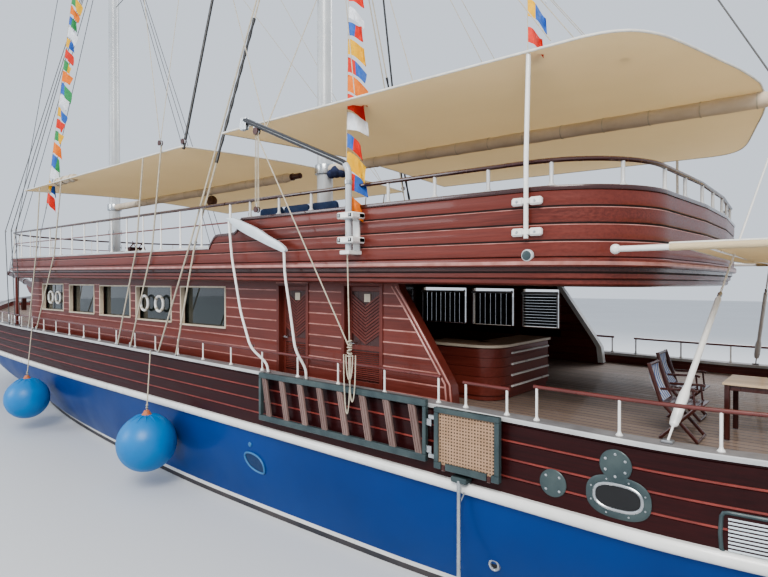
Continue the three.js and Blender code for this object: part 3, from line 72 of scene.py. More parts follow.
# camera at the photograph's place and angle
cameraAt = {"place": (-15.35, 10.35, 4.45), "ahead": (0.6413, -0.7673), "pitch": -0.57, "lens": 26.0,
    "sensor": 36.0, "far": 400.0}
cameraData = bpy.data.cameras.new("camera")
cameraData.lens = cameraAt["lens"]
cameraData.sensor_width = cameraAt["sensor"]
cameraData.clip_end = cameraAt["far"]
camera = placed("camera", cameraData)
camera.location = cameraAt["place"]
ahead = Vector((*cameraAt["ahead"], tan(radians(cameraAt["pitch"]))))
camera.rotation_euler = ahead.to_track_quat("-Z", "Y").to_euler()
scene.camera = camera


# materials
def put(node, values):
    for socket, value in values.items():
        node.inputs[socket].default_value = value


def mixed(tree, first, second, factor):
    node = tree.nodes.new("ShaderNodeMix")
    node.data_type = "RGBA"
    for socket, value in ((0, factor), (6, first), (7, second)):
        if isinstance(value, bpy.types.NodeSocket):
            tree.links.new(value, node.inputs[socket])
        else:
            node.inputs[socket].default_value = value if socket == 0 else (*value, 1.0)
    return node.outputs[2]


def ranged(tree, value, low, high, outLow=0.0, outHigh=1.0):
    node = tree.nodes.new("ShaderNodeMapRange")
    tree.links.new(value, node.inputs[0])
    put(node, {1: low, 2: high, 3: outLow, 4: outHigh})
    return node.outputs[0]


def noise(tree, scale, detail=3.0, stretch=(1, 1, 1), roughness=0.55):
    place = tree.nodes.new("ShaderNodeTexCoord")
    mapping = tree.nodes.new("ShaderNodeMapping")
    put(mapping, {"Scale": stretch})
    node = tree.nodes.new("ShaderNodeTexNoise")
    put(node, {"Scale": scale, "Detail": detail, "Roughness": roughness})
    tree.links.new(place.outputs["Object"], mapping.inputs["Vector"])
    tree.links.new(mapping.outputs[0], node.inputs["Vector"])
    return node.outputs["Fac"]


def bumped(tree, shader, height, strength, distance):
    node = tree.nodes.new("ShaderNodeBump")
    put(node, {"Strength": strength, "Distance": distance})
    tree.links.new(height, node.inputs["Height"])
    tree.links.new(node.outputs[0], shader.inputs["Normal"])


def shared(tree, first, second, share):
    both = tree.nodes.new("ShaderNodeMixShader")
    put(both, {0: share})
    tree.links.new(first.outputs[0], both.inputs[1])
    tree.links.new(second.outputs[0], both.inputs[2])
    tree.links.new(both.outputs[0], tree.nodes["Material Output"].inputs["Surface"])


def newMaterial(name):
    made = bpy.data.materials.new(name)
    made.use_nodes = True
    return made, made.node_tree, made.node_tree.nodes["Principled BSDF"]


# a plain surface: two tones mixed by soft noise, with a fine bump
def plain(name, colour, rough=0.5, scale=3.0, other=None, metal=0.0, coat=0.0, bump=0.0,
        bumpScale=40.0, shine=0.5):
    made, tree, shader = newMaterial(name)
    other = other or tuple(c * 0.82 for c in colour)
    spots = ranged(tree, noise(tree, scale, 4.0), 0.35, 0.68)
    tree.links.new(mixed(tree, colour, other, spots), shader.inputs["Base Color"])
    tree.links.new(ranged(tree, noise(tree, scale * 2.3, 3.0), 0.3, 0.7, rough * 0.85, min(1.0, rough * 1.2)),
        shader.inputs["Roughness"])
    put(shader, {"Metallic": metal, "Specular IOR Level": shine, "Coat Weight": coat, "Coat Roughness": 0.08})
    if bump:
        bumped(tree, shader, noise(tree, bumpScale), bump, 0.01)
    return made


# varnished or bare wood: grain stretched along one axis, boards told apart by the tone attribute
def wood(name, dark, light, rough=0.3, coat=0.6, along=0, shine=0.32):
    made, tree, shader = newMaterial(name)
    stretch = [9.0, 9.0, 9.0]
    stretch[along] = 0.35
    lines = ranged(tree, noise(tree, 4.0, 5.0, stretch, 0.6), 0.3, 0.72)
    clouds = ranged(tree, noise(tree, 0.7, 3.0, (0.5, 2.0, 2.0)), 0.3, 0.7)
    tone = tree.nodes.new("ShaderNodeAttribute")
    tone.attribute_name = "tone"
    base = mixed(tree, dark, light, lines)
    cloudy = mixed(tree, base, tuple(c * 0.72 for c in dark), ranged(tree, clouds, 0.0, 1.0, 0.0, 0.45))
    toned = mixed(tree, cloudy, tuple(min(1.0, c * 1.25) for c in light),
        ranged(tree, tone.outputs["Fac"], 0.0, 1.0, 0.0, 0.45))
    tree.links.new(toned, shader.inputs["Base Color"])
    tree.links.new(ranged(tree, lines, 0.0, 1.0, rough * 0.8, rough * 1.3), shader.inputs["Roughness"])
    put(shader, {"Specular IOR Level": shine, "Coat Weight": coat, "Coat Roughness": 0.06})
    bumped(tree, shader, lines, 0.15, 0.004)
    return made


# woven cloth: fine threads, broad soft stains, light through it
def cloth(name, colour, other, through=0.25):
    made, tree, shader = newMaterial(name)
    stains = ranged(tree, noise(tree, 0.5, 4.0), 0.35, 0.7)
    tree.links.new(mixed(tree, colour, other, stains), shader.inputs["Base Color"])
    put(shader, {"Roughness": 0.92})
    bumped(tree, shader, noise(tree, 6.0, 4.0, (0.4, 1.6, 1.0)), 0.25, 0.02)
    glow = tree.nodes.new("ShaderNodeBsdfTranslucent")
    put(glow, {"Color": (*colour, 1.0)})
    shared(tree, shader, glow, through)
    return made


def glassy(name, tint, rough=0.03, alpha=0.45):
    made, tree, shader = newMaterial(name)
    put(shader, {"Base Color": (*tint, 1.0), "Roughness": rough, "Specular IOR Level": 0.9,
        "Coat Weight": 1.0})
    shared(tree, tree.nodes.new("ShaderNodeBsdfTransparent"), shader, alpha)
    return made


paint = {
    "antifouling": plain("antifouling", (0.035, 0.035, 0.042), 0.7, 1.2, (0.07, 0.06, 0.06), bump=0.2),
    "blue": plain("hullBlue", (0.001, 0.042, 0.2), 0.42, 0.35, (0.001, 0.031, 0.155), coat=0.12, bump=0.03,
        bumpScale=1.2, shine=0.25),
    "white": plain("whitePaint", (0.78, 0.77, 0.74), 0.3, 1.5, (0.68, 0.67, 0.64), coat=0.3),
    "greyWhite": plain("greyWhite", (0.55, 0.55, 0.54), 0.4, 2.0, (0.42, 0.42, 0.42), coat=0.2),
    "planking": wood("hullPlanking", (0.016, 0.003, 0.0035), (0.04, 0.0065, 0.007), 0.42, 0.14, shine=0.18),
    # red painted highlight on the hull planking's seam beads
    "paintedHighlightRed": plain("paintedHighlightRed", (0.25, 0.05, 0.038), 0.4, 4.0, (0.15, 0.03, 0.024), coat=0.15),
    "mahogany": wood("mahogany", (0.085, 0.017, 0.012), (0.175, 0.038, 0.026), 0.36, 0.26),
    "mahoganyUp": wood("mahoganyUpright", (0.078, 0.015, 0.011), (0.155, 0.034, 0.023), 0.36, 0.26, along=2),
    # pale pink painted highlight for rounded plank edges and mouldings
    "paintedHighlightPale": plain("paintedHighlightPale", (0.46, 0.225, 0.195), 0.35, 4.0, (0.29, 0.115, 0.09), coat=0.3),
    # dark wood; also painted shade on the fascia's top rib
    "darkWood": wood("darkWood", (0.03, 0.008, 0.006), (0.075, 0.018, 0.013), 0.3, 0.5),
    "darkUp": wood("darkUpright", (0.03, 0.008, 0.006), (0.075, 0.018, 0.013), 0.3, 0.5, along=2),
    # dark seams; also painted shade on the fascia's steps
    "darkSeamAndShade": plain("darkSeamAndShade", (0.02, 0.008, 0.006), 0.6),
    "teak": wood("teakDeck", (0.2, 0.145, 0.115), (0.31, 0.24, 0.2), 0.6, 0.1),
    "deckSeam": plain("deckSeam", (0.04, 0.035, 0.03), 0.7),
    "railRed": plain("railRed", (0.15, 0.034, 0.027), 0.3, 2.0, (0.1, 0.022, 0.018), coat=0.5),
    "railDark": plain("railDark", (0.045, 0.01, 0.008), 0.28, 2.0, coat=0.7),
    "cream": plain("creamFrame", (0.62, 0.54, 0.42), 0.4, 4.0, (0.5, 0.42, 0.32)),
    "canvas": cloth("canvas", (0.82, 0.71, 0.52), (0.74, 0.63, 0.45), 0.55),
    "canvasSeam": plain("canvasSeam", (0.33, 0.25, 0.16), 0.9, 6.0),
    "boomCover": plain("boomCover", (0.62, 0.53, 0.42), 0.85, 2.0, (0.52, 0.44, 0.34),
        bump=0.3, bumpScale=14.0),
    "bundle": plain("bundleBlue", (0.02, 0.03, 0.08), 0.8, 8.0, bump=0.4),
    "caneHole": plain("caneHole", (0.03, 0.022, 0.015), 0.9, 8.0),
    "tableTop": wood("tableTop", (0.42, 0.3, 0.19), (0.62, 0.48, 0.33), 0.45, 0.2),
    "hem": plain("hemWhite", (0.7, 0.68, 0.62), 0.8, 8.0, bump=0.2),
    "mast": plain("mastGrey", (0.5, 0.52, 0.53), 0.35, 1.0, (0.42, 0.44, 0.46), coat=0.3),
    "rope": plain("rope", (0.52, 0.47, 0.38), 0.9, 14.0, (0.4, 0.36, 0.28), bump=0.6, bumpScale=120.0),
    "wire": plain("wire", (0.12, 0.12, 0.12), 0.5, 10.0, metal=0.4),
    "davitDark": plain("davitDark", (0.02, 0.02, 0.023), 0.2, 3.0, (0.035, 0.033, 0.035),
        metal=0.3, coat=0.9),
    "panelWhite": plain("panelWhite", (0.6, 0.65, 0.68), 0.35, 5.0, (0.5, 0.55, 0.58), coat=0.4),
    "slat": plain("slat", (0.05, 0.055, 0.06), 0.5, 6.0, (0.09, 0.09, 0.09)),
    "ball": plain("ball", (0.12, 0.06, 0.03), 0.7, 6.0, bump=0.4),
    "steel": plain("steel", (0.55, 0.56, 0.57), 0.28, 4.0, (0.4, 0.42, 0.43), metal=0.9),
    "frameGreen": plain("frameGrey", (0.035, 0.055, 0.06), 0.45, 3.0, (0.07, 0.095, 0.095),
        metal=0.2, coat=0.1),
    "tread": wood("tread", (0.13, 0.085, 0.075), (0.24, 0.165, 0.145), 0.6, 0.1, along=2),
    "cane": plain("cane", (0.4, 0.26, 0.17), 0.6, 6.0, (0.33, 0.21, 0.13)),
    # dark grey painted shade for the white cap rail's top
    "shadedCapGrey": plain("shadedCapGrey", (0.24, 0.23, 0.23), 0.5, 3.0, (0.17, 0.16, 0.16)),
    "barTop": plain("barTop", (0.5, 0.33, 0.22), 0.7, 3.0, (0.42, 0.27, 0.18), shine=0.08),
    # hull blue lightened as a painted highlight
    "paintedHighlightBlue": plain("paintedHighlightBlue", (0.05, 0.17, 0.36), 0.4, 5.0),
    "deepBlue": plain("deepBlue", (0.004, 0.03, 0.1), 0.5, 5.0),
    "black": plain("black", (0.012, 0.012, 0.013), 0.45, 6.0),
    "fender": plain("fenderBlue", (0.012, 0.19, 0.48), 0.4, 1.3, (0.01, 0.16, 0.41),
        bump=0.04, bumpScale=8.0),
    "collar": plain("collarRed", (0.5, 0.17, 0.08), 0.6, 10.0, bump=0.3),
    "bronze": plain("bronze", (0.5, 0.33, 0.12), 0.25, 5.0, metal=0.9),
    "glass": glassy("windowGlass", (0.012, 0.019, 0.016), 0.03, 0.84),
    "curtain": cloth("curtain", (0.5, 0.5, 0.47), (0.4, 0.4, 0.38), 0.3),
    "cushionBlue": plain("cushionBlue", (0.007, 0.02, 0.06), 0.85, 5.0, (0.005, 0.015, 0.042),
        bump=0.2, bumpScale=90.0),
    "stripeBlue": plain("stripeBlue", (0.05, 0.14, 0.42), 0.8, 9.0),
    "stripeWhite": plain("stripeWhite", (0.7, 0.72, 0.76), 0.8, 9.0),
    "lampGlass": plain("lampGlass", (0.85, 0.85, 0.82), 0.15, 9.0, coat=0.8),
    "red": plain("pennantRed", (0.65, 0.05, 0.03), 0.8, 9.0),
    "yellow": plain("pennantYellow", (0.75, 0.42, 0.03), 0.8, 9.0),
    "green": plain("pennantGreen", (0.05, 0.28, 0.1), 0.8, 9.0),
    "pennantBlue": plain("pennantBlue", (0.04, 0.13, 0.45), 0.8, 9.0),
    "orange": plain("pennantOrange", (0.75, 0.2, 0.03), 0.8, 9.0),
}
print("materials", len(paint))


# the profile of a ring, for a turned shape
def band(inner, outer, high):
    return [(0, inner), (0, outer), (high, outer), (high, inner)]


# points in rows, from their coordinates; a single number counts for all of them
def columns(*parts):
    return np.stack(np.broadcast_arrays(*parts), axis=-1)


def turns(count):
    return np.linspace(0, 2 * np.pi, count + 1)[:-1]


evenTone = 0.5  # of turned and drawn shapes; boards have tones by chance
mending = {"flat": 1e-10, "weld": 2e-5, "sharp": 0.6}  # areas dropped, points joined, edges kept sharp


# shapes: surfaces gathered in one mesh
class Shape:
    def __init__(self):
        self.slots = []
        self.points = []
        self.faces = []
        self.marks = []
        self.tones = []
        self.count = 0

    def slotOf(self, name):
        if name not in self.slots:
            self.slots.append(name)
        return self.slots.index(name)

    # rows of points, each joined to the next; rowSlots gives a paint for each strip between rows
    def grid(self, rows, slot, tone=None, closed=False, rowSlots=None, rowTones=None):
        rows = np.asarray(rows, float)
        m, n = rows.shape[:2]
        start = self.count
        self.points.append(rows.reshape(-1, 3))
        self.count += m * n
        j = np.arange(n if closed else n - 1)
        k = (j + 1) % n
        tone = rng.random() if tone is None else tone
        for i in range(m - 1):
            a = start + i * n
            quads = columns(a + j, a + k, a + n + k, a + n + j)
            self.faces.append(quads)
            self.marks.append(np.full(len(quads), self.slotOf(rowSlots[i] if rowSlots else slot)))
            self.tones.append(np.full(len(quads), rowTones[i] if rowTones else tone))

    # a fan over a ring of points
    def cap(self, ring, slot, tone=evenTone):
        ring = np.asarray(ring, float)
        middle = ring.mean(axis=0, keepdims=True)
        start = self.count
        n = len(ring)
        self.points.append(np.vstack([ring, middle]))
        self.count += n + 1
        j = np.arange(n)
        tris = columns(start + j, start + (j + 1) % n, start + n, start + n)
        self.faces.append(tris)
        self.marks.append(np.full(n, self.slotOf(slot)))
        self.tones.append(np.full(n, tone))

    # a chamfered block, optionally with its corners moved by a function of its points
    def box(self, low, high, slot, bevel=0.004, tone=None, bend=None):
        low, high = np.minimum(low, high).astype(float), np.maximum(low, high).astype(float)
        size = high - low
        b = min(bevel, *(size * 0.45))
        signs = np.array([[x, y, z] for x in (0, 1) for y in (0, 1) for z in (0, 1)])
        verts, index = [], {}
        for c in range(8):
            for axis in range(3):
                p = low + signs[c] * size
                for other in range(3):
                    if other != axis:
                        p[other] += b * (1 - 2 * signs[c][other])
                index[c, axis] = len(verts)
                verts.append(p)
        corner = lambda x, y, z: x * 4 + y * 2 + z
        quads = []
        for axis in range(3):
            u, v = [a for a in range(3) if a != axis]
            for side in (0, 1):
                ring = []
                for du, dv in ((0, 0), (1, 0), (1, 1), (0, 1)):
                    s = [0, 0, 0]
                    s[axis], s[u], s[v] = side, du, dv
                    ring.append(index[corner(*s), axis])
                quads.append(ring)
            for du in (0, 1):
                for dv in (0, 1):
                    s0, s1 = [0, 0, 0], [0, 0, 0]
                    s0[u] = s1[u] = du
                    s0[v] = s1[v] = dv
                    s1[axis] = 1
                    c0, c1 = corner(*s0), corner(*s1)
                    quads.append([index[c0, u], index[c1, u], index[c1, v], index[c0, v]])
        tris = [[index[c, 0], index[c, 1], index[c, 2], index[c, 2]] for c in range(8)]
        pts = np.array(verts)
        if bend is not None:
            pts = bend(pts)
        self.points.append(pts)
        faces = np.array(quads + tris) + self.count
        self.count += len(pts)
        self.faces.append(faces)
        self.marks.append(np.full(len(faces), self.slotOf(slot)))
        self.tones.append(np.full(len(faces), rng.random() if tone is None else tone))

    # a tube along points; radius may be a list
    def tube(self, path, radius, slot, sides=8, flat=1.0, closed=False):
        path = np.asarray(path, float)
        n = len(path)
        radii = np.broadcast_to(np.asarray(radius, float), n)
        ahead = np.roll(path, -1, axis=0) - np.roll(path, 1, axis=0)
        if not closed:
            ahead[0], ahead[-1] = path[1] - path[0], path[-1] - path[-2]
        ahead /= norm(ahead, axis=1, keepdims=True) + 1e-12
        up = np.array([0, 0, 1.0]) if abs(ahead[0][2]) < 0.9 else np.array([1.0, 0, 0])
        angles = 2 * np.pi * (np.arange(sides) + 0.5) / sides
        rings = []
        for p, d, r in zip(path, ahead, radii):
            across = np.cross(d, up)
            across /= norm(across) + 1e-12
            up = np.cross(across, d)
            rings.append(p + r * (np.cos(angles)[:, None] * across + flat * np.sin(angles)[:, None] * up))
        if closed:
            rings.append(rings[0])
        self.grid(rings, slot, evenTone, closed=True)
        if not closed:
            self.cap(rings[0], slot)
            self.cap(rings[-1], slot)

    # a turned shape: profile of (distance along axis, radius)
    def turned(self, foot, axis, profile, slot, sides=16):
        foot, axis = np.asarray(foot, float), np.asarray(axis, float)
        axis = axis / norm(axis)
        side = np.cross(axis, [0, 0, 1.0] if abs(axis[2]) < 0.9 else [1.0, 0, 0])
        side /= norm(side)
        other = np.cross(axis, side)
        a = 2 * np.pi * np.arange(sides) / sides
        around = np.cos(a)[:, None] * side + np.sin(a)[:, None] * other
        rings = [foot + h * axis + max(r, 1e-4) * around for h, r in profile]
        self.grid(rings, slot, evenTone, closed=True)

    def make(self, name, slot, replaces=None, body="hull"):
        points = np.vstack(self.points)
        faces = np.vstack(self.faces)
        marks = np.concatenate(self.marks)
        tones = np.concatenate(self.tones)
        p = points[faces]
        area = norm(np.cross(p[:, 2] - p[:, 0], p[:, 3] - p[:, 1]), axis=1)
        area += norm(np.cross(p[:, 1] - p[:, 0], p[:, 2] - p[:, 0]), axis=1)
        kept = area > mending["flat"]
        faces, marks, tones = faces[kept], marks[kept], tones[kept]
        polygons = [f[:3] if f[2] == f[3] else f for f in faces.tolist()]
        mesh = bpy.data.meshes.new(name)
        mesh.from_pydata(points.tolist(), [], polygons)
        for title in self.slots:
            mesh.materials.append(paint[title])
        mesh.polygons.foreach_set("material_index", marks.astype(np.int32))
        attribute = mesh.attributes.new("tone", "FLOAT", "FACE")
        attribute.data.foreach_set("value", tones.astype(np.float32))
        mesh.validate()
        joined = placed(name, mesh)
        weld(mesh)
        mesh.polygons.foreach_set("use_smooth", np.ones(len(mesh.polygons), bool))
        mesh.set_sharp_from_angle(angle=mending["sharp"])
        if body:
            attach(joined, body)
        if replaces:
            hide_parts(replaces)
        return joined


def weld(mesh):
    work = bmesh.new()
    work.from_mesh(mesh)
    bmesh.ops.remove_doubles(work, verts=work.verts, dist=mending["weld"])
    bmesh.ops.recalc_face_normals(work, faces=work.faces)
    work.to_mesh(mesh)
    work.free()


# hull lines, as in the solids
def through(table, x):
    table = np.asarray(table, float)
    places, values = table[:, 0], table[:, 1]
    slopes = np.diff(values) / np.diff(places)
    inner = np.where(slopes[:-1] * slopes[1:] <= 0, 0.0,
        2 * slopes[:-1] * slopes[1:] / np.where(slopes[:-1] + slopes[1:] == 0, 1, slopes[:-1] + slopes[1:]))
    tangents = np.concatenate([[slopes[0]], inner, [slopes[-1]]])
    x = np.clip(np.asarray(x, float), places[0], places[-1])
    i = np.clip(np.searchsorted(places, x, side="left") - 1, 0, len(slopes) - 1)
    span = places[i + 1] - places[i]
    t = (x - places[i]) / span
    rise = values[i + 1] - values[i]
    s0, s1 = tangents[i] * span, tangents[i + 1] * span
    return values[i] + t * s0 + t * t * (3 * rise - 2 * s0 - s1) + t ** 3 * (s0 + s1 - 2 * rise)


hull = {
    "half": 16.6, "breadth": 3.9, "sternWater": -15.6, "stemWater": 14.6,
    "stemHeight": 3.78, "sternHeight": 2.8,
    "deck": [(-16.6, 3.4), (-15.4, 3.72), (-13.6, 3.9), (9.2, 3.9), (11.6, 3.58), (13.5, 2.9), (15.2, 1.85),
        (16.2, 0.85), (16.6, 0.1)],
    "water": [(-16.6, 2.4), (-14, 3.15), (-10, 3.55), (-5, 3.65), (0, 3.45), (4, 3.1), (8, 2.5), (11.5, 1.6),
        (14.4, 0.75), (16.6, 0.1)],
    "depth": [(-16.6, 0.2), (-14.4, 0.36), (-12.4, 0.65), (-9, 1.25), (-3, 1.65), (4, 1.7), (9, 1.5),
        (13, 1.0), (16.6, 0.35)],
}


def capLevel(x):
    return 2.895 + 0.0135 * x + 0.006 * np.maximum(0, x - 6) ** 2 + 0.008 * np.minimum(0, x + 13) ** 2


def rubLevel(x):
    return 1.775 + 0.0085 * x + 0.0016 * np.maximum(0, x) ** 2


def deckLevel(x):
    return capLevel(x) - 0.25


def capAt(x):
    return float(capLevel(np.array(x)))


# where a fitting stands on the cap
def onCap(x):
    return capAt(x) + 0.002


def deckAt(x):
    return float(deckLevel(np.array(x)))


# a flat deck's height under a thing that reaches out on both sides of x
def deckUnderAt(x, reach):
    return max(deckAt(x - reach), deckAt(x + reach))


def hullX(length, z):
    aft, fore = np.clip(z / hull["sternHeight"], 0, 1), np.clip(z / hull["stemHeight"], 0, 1) ** 1.3
    stern = hull["sternWater"] - (hull["half"] + hull["sternWater"]) * aft
    stem = hull["stemWater"] + (hull["half"] - hull["stemWater"]) * fore
    return stern + (length + hull["half"]) / (2 * hull["half"]) * (stem - stern)


def lengthAt(x, z):
    stern, stem = hullX(-hull["half"], z), hullX(hull["half"], z)
    return -hull["half"] + 2 * hull["half"] * (x - stern) / (stem - stern)


def hullY(length, z):
    low, high = through(hull["water"], length), through(hull["deck"], length)
    rise = np.clip(z / rubLevel(length), 0, 1)
    return low + (high - low) * np.sin(np.pi / 2 * rise)


# the hull's surface at a real x and height, on the port side
def sideAt(x, z, proud=0.0):
    return hullY(lengthAt(x, z), z) + proud


def onSide(side, x, z, proud):
    return x, side * float(sideAt(x, z, proud)), z


# a line round one side of the hull at a level function, grown outwards
def hullLine(level, lengths, proud=0.0):
    z = level(lengths)
    for _ in range(6):
        z = level(hullX(lengths, z))
    x = hullX(lengths, z)
    y = hullY(lengths, z)
    slope = np.gradient(y, x)
    across = np.hypot(1, slope)
    return columns(x - proud * slope / across, y + proud / across, z)


lengths = np.unique(np.concatenate([np.linspace(-16.6, -13, 19), np.linspace(-13, 9, 56),
    np.linspace(9, 16.6, 50)]))


# a flat plate with an outline in x and z, between two y
def plate(shape, ring, y0, y1, slot):
    sides = [[(x, y, z) for x, z in ring] for y in (y0, y1)]
    shape.grid(sides, slot, closed=True)
    for side in sides:
        shape.cap(side, slot)


# the whole way round the hull: port side forward, starboard side back, across the stern at the end
def around(line):
    return np.vstack([line, (line * [1, -1, 1])[::-1]])


def between(low, high, share):
    return lambda x: low(x) + (high(x) - low(x)) * share


# hull skins
waterline = {"stripeLow": 0.1, "stripeHigh": 0.19}
rub = {"half": 0.08}
cap = {"thick": 0.06, "foreEnd": 15.6}

bottom = Shape()
steps = 14
bottomRows = []
for i in range(steps + 1):  # y = breadth cos(a)^0.75, z = stripe - depth sin(a)^1.15
    angle = pi / 2 * i / steps
    depth = through(hull["depth"], lengths) + waterline["stripeLow"]
    z = waterline["stripeLow"] - depth * sin(angle) ** 1.15
    x = hullX(lengths, np.full_like(lengths, waterline["stripeLow"]))
    y = hullY(lengths, waterline["stripeLow"]) * cos(angle) ** 0.75 if i < steps else np.zeros_like(lengths)
    bottomRows.append(columns(x, y, z))
for side in (1, -1):
    bottom.grid([row * [1, side, 1] for row in bottomRows], "antifouling")
sternRing = np.array([row[0] for row in bottomRows])
bottom.grid([sternRing, sternRing * [1, -1, 1]], "antifouling")
keel = [(-14.9, -2.25), (-14.9, -2.11), (-12.6, -2.11), (-12.6, -0.5), (-13.0, -0.25), (12.4, -0.25),
    (13.3, -0.5), (12.2, -1.4), (10.5, -1.95)]
keelSides = [np.array([[x, y, z] for x, z in keel]) for y in (-0.14, 0.14)]
for ring in keelSides:
    bottom.cap(ring, "antifouling")
bottom.grid(keelSides, "antifouling", closed=True)
bottom.turned((-12.3, 0, -1.3), (-1, 0, 0), [(0, 0.13), (0.34, 0.13), (0.34, 0.05)], "antifouling")
bottom.make("hullBottomSkin", "antifouling", "hull_bottom")

stripe = Shape()
stripeLow = lambda x: np.full_like(x, waterline["stripeLow"])
stripeHigh = lambda x: np.full_like(x, waterline["stripeHigh"])
stripe.grid([around(hullLine(stripeLow, lengths)), around(hullLine(stripeHigh, lengths))],
    "white", closed=True)
stripe.make("bootStripe", "white", "boot_stripe")

topside = Shape()
topHigh = lambda x: rubLevel(x) - rub["half"]
rows = [around(hullLine(between(stripeHigh, topHigh, s), lengths)) for s in np.linspace(0, 1, 13)]
topside.grid(rows, "blue", closed=True)
topside.make("topsideSkin", "blue", "hull_topside")

rubRail = Shape()
rubProfile = [(-0.02, -0.08), (0.05, -0.075), (0.075, -0.055), (0.09, -0.02), (0.09, 0.02), (0.075, 0.055),
    (0.05, 0.075), (-0.02, 0.08)]
rubRail.grid([around(hullLine(lambda x, dz=dz: rubLevel(x) + dz, lengths, proud))
    for proud, dz in rubProfile], "white", closed=True)
rubRail.make("rubRail", "white", "rub_rail")

planking = Shape()
plankLow = lambda x: rubLevel(x) + rub["half"]
plankHigh = lambda x: capLevel(x) - cap["thick"]
strakes = 4
plankRows, plankSlots, plankTones = [], [], []
for k in range(strakes):  # each strake is proud, with a rounded bead in the seam over it painted red as a highlight
    tone = rng.random() * 0.7
    for share, proud, slot in ((0.0, -0.004, "planking"), (0.03, 0.004, "planking"),
            (0.45, 0.006, "planking"), (0.84, 0.004, "planking"), (0.87, -0.006, "paintedHighlightRed"),
            (0.9, 0.004, "paintedHighlightRed"), (0.97, 0.004, "paintedHighlightRed")):
        level = between(plankLow, plankHigh, (k + share) / strakes)
        plankRows.append(around(hullLine(level, lengths, proud)))
        plankSlots.append(slot if not (k == strakes - 1 and share > 0.8) else "planking")
        plankTones.append(tone)
plankRows.append(around(hullLine(plankHigh, lengths, -0.004)))
planking.grid(plankRows, "planking", closed=True, rowSlots=plankSlots, rowTones=plankTones)


# the line inside the bulwark at a level function, brought in by a thickness
def insideLine(level, inset):
    last = cap["foreEnd"]
    stations = np.append(lengths[lengths < last], last)
    line = hullLine(level, stations, -inset)
    line[:, 0] = np.maximum(line[:, 0], line[0, 0] + inset)
    line[:, 1] = np.maximum(line[:, 1], 0.02)
    return line


insideLow = lambda x: deckLevel(x) - 0.05
insideRows = [around(insideLine(between(insideLow, plankHigh, s), 0.14))
    for s in (0, 0.3, 0.33, 0.63, 0.66, 1.0)]
# red seam lines on the bulwark's inside, painted highlight
planking.grid(insideRows, "planking", closed=True,
    rowSlots=["mahogany", "paintedHighlightRed", "mahogany", "paintedHighlightRed", "mahogany"])
for x in (-11.86, -11.16):  # lugs of the boarding platform
    planking.box((x, 3.85, 1.88), (x + 0.06, 4.05, 1.96), "darkWood", 0.008)
planking.make("plankingSkin", "mahogany", "hull_planking")

capRail = Shape()
capRows = []
for proud, dz in ((0.0, -0.06), (0.028, -0.058), (0.03, -0.05), (0.03, -0.01), (0.022, 0.0)):
    capRows.append(around(hullLine(lambda x, dz=dz: capLevel(x) + dz,
        np.append(lengths[lengths < cap["foreEnd"]], cap["foreEnd"]), proud)))
for inset, dz in ((0.232, 0.0), (0.24, -0.008), (0.24, -0.06), (0.2, -0.06)):
    capRows.append(around(insideLine(lambda x, dz=dz: capLevel(x) + dz, inset)))
# the cap's top strip is painted dark grey as shade
capRail.grid(capRows, "greyWhite", closed=True, rowSlots=["greyWhite"] * 4 + ["shadedCapGrey"] + ["greyWhite"] * 3)
headLine = hullLine(capLevel, np.append([cap["foreEnd"]], lengths[lengths > cap["foreEnd"]]), 0.03)
headLow = headLine - [0, 0, cap["thick"]]
capRail.grid([around(headLow), around(headLine)], "greyWhite")
headTop = [np.array([p * [1, s, 1] for s in (1, 0.3, -0.3, -1)]) for p in headLine]
# the head's top, painted dark grey as shade
capRail.grid(headTop, "shadedCapGrey")
capRail.make("capRailSkin", "cap", "cap_rail")
print("hull skins")

# decks
deckSkin = Shape()
boards = {"pitch": 0.16, "seam": 0.012}
edgeLine = insideLine(lambda x: deckLevel(x) + 0.001, 0.162)


# boards along a deck with dark seams between them, each cut where the deck's edge runs in
def layBoards(shape, xs, halves, level):
    for y0 in np.arange(-3.76, 3.77, boards["pitch"]):
        seamAt, nextAt = y0 + boards["pitch"] - boards["seam"], y0 + boards["pitch"]
        for a, b, slot, drop in ((y0, seamAt, "teak", 0.0), (seamAt, nextAt, "deckSeam", 0.002)):
            kept = halves > (min(abs(a), abs(b)) if a * b > 0 else 0.0) + 0.01
            if kept.sum() < 3:
                continue
            x, half = xs[kept], halves[kept]
            shape.grid([columns(x, np.clip(y, -half, half), level(x) + 0.001 - drop) for y in (a, b)], slot)


layBoards(deckSkin, edgeLine[:, 0], edgeLine[:, 1], deckLevel)
deckUnder = insideLine(lambda x: deckLevel(x) - 0.04, 0.162)
deckSkin.grid([around(deckUnder), around(edgeLine)], "teak")
bitts = {"places": ((13.9, 1.35), (13.9, -1.35), (-15.7, 2.6), (-15.7, -2.6)), "height": 0.55}
for x, y in bitts["places"]:
    z = deckAt(x)
    deckSkin.box((x - 0.09, y - 0.09, z - 0.02), (x + 0.09, y + 0.09, z + bitts["height"]), "darkUp", 0.012)
    deckSkin.tube([(x, y - 0.22, z + 0.36), (x, y + 0.22, z + 0.36)], 0.035, "steel", 12)
deckSkin.make("deckSkin", "teak", "main_deck")
print("decks")

# upper works; everything here leans with the sheer: z rises 0.0115 for each metre forward
slope = 0.0115
hullSide = 3.9004  # just clear of the upper side, where clamps sit
upper = {
    "corner": -12.25, "stern": -13.72, "bowCorner": 6.5, "bow": 8.9, "floor": 4.91,
    "sill": 5.25, "cap": 5.78, "rail": 6.1, "mid": 5.72, "planks": 4,
}


def sheared(points):
    points = np.array(points, float)
    points[..., 2] += slope * points[..., 0]
    return points


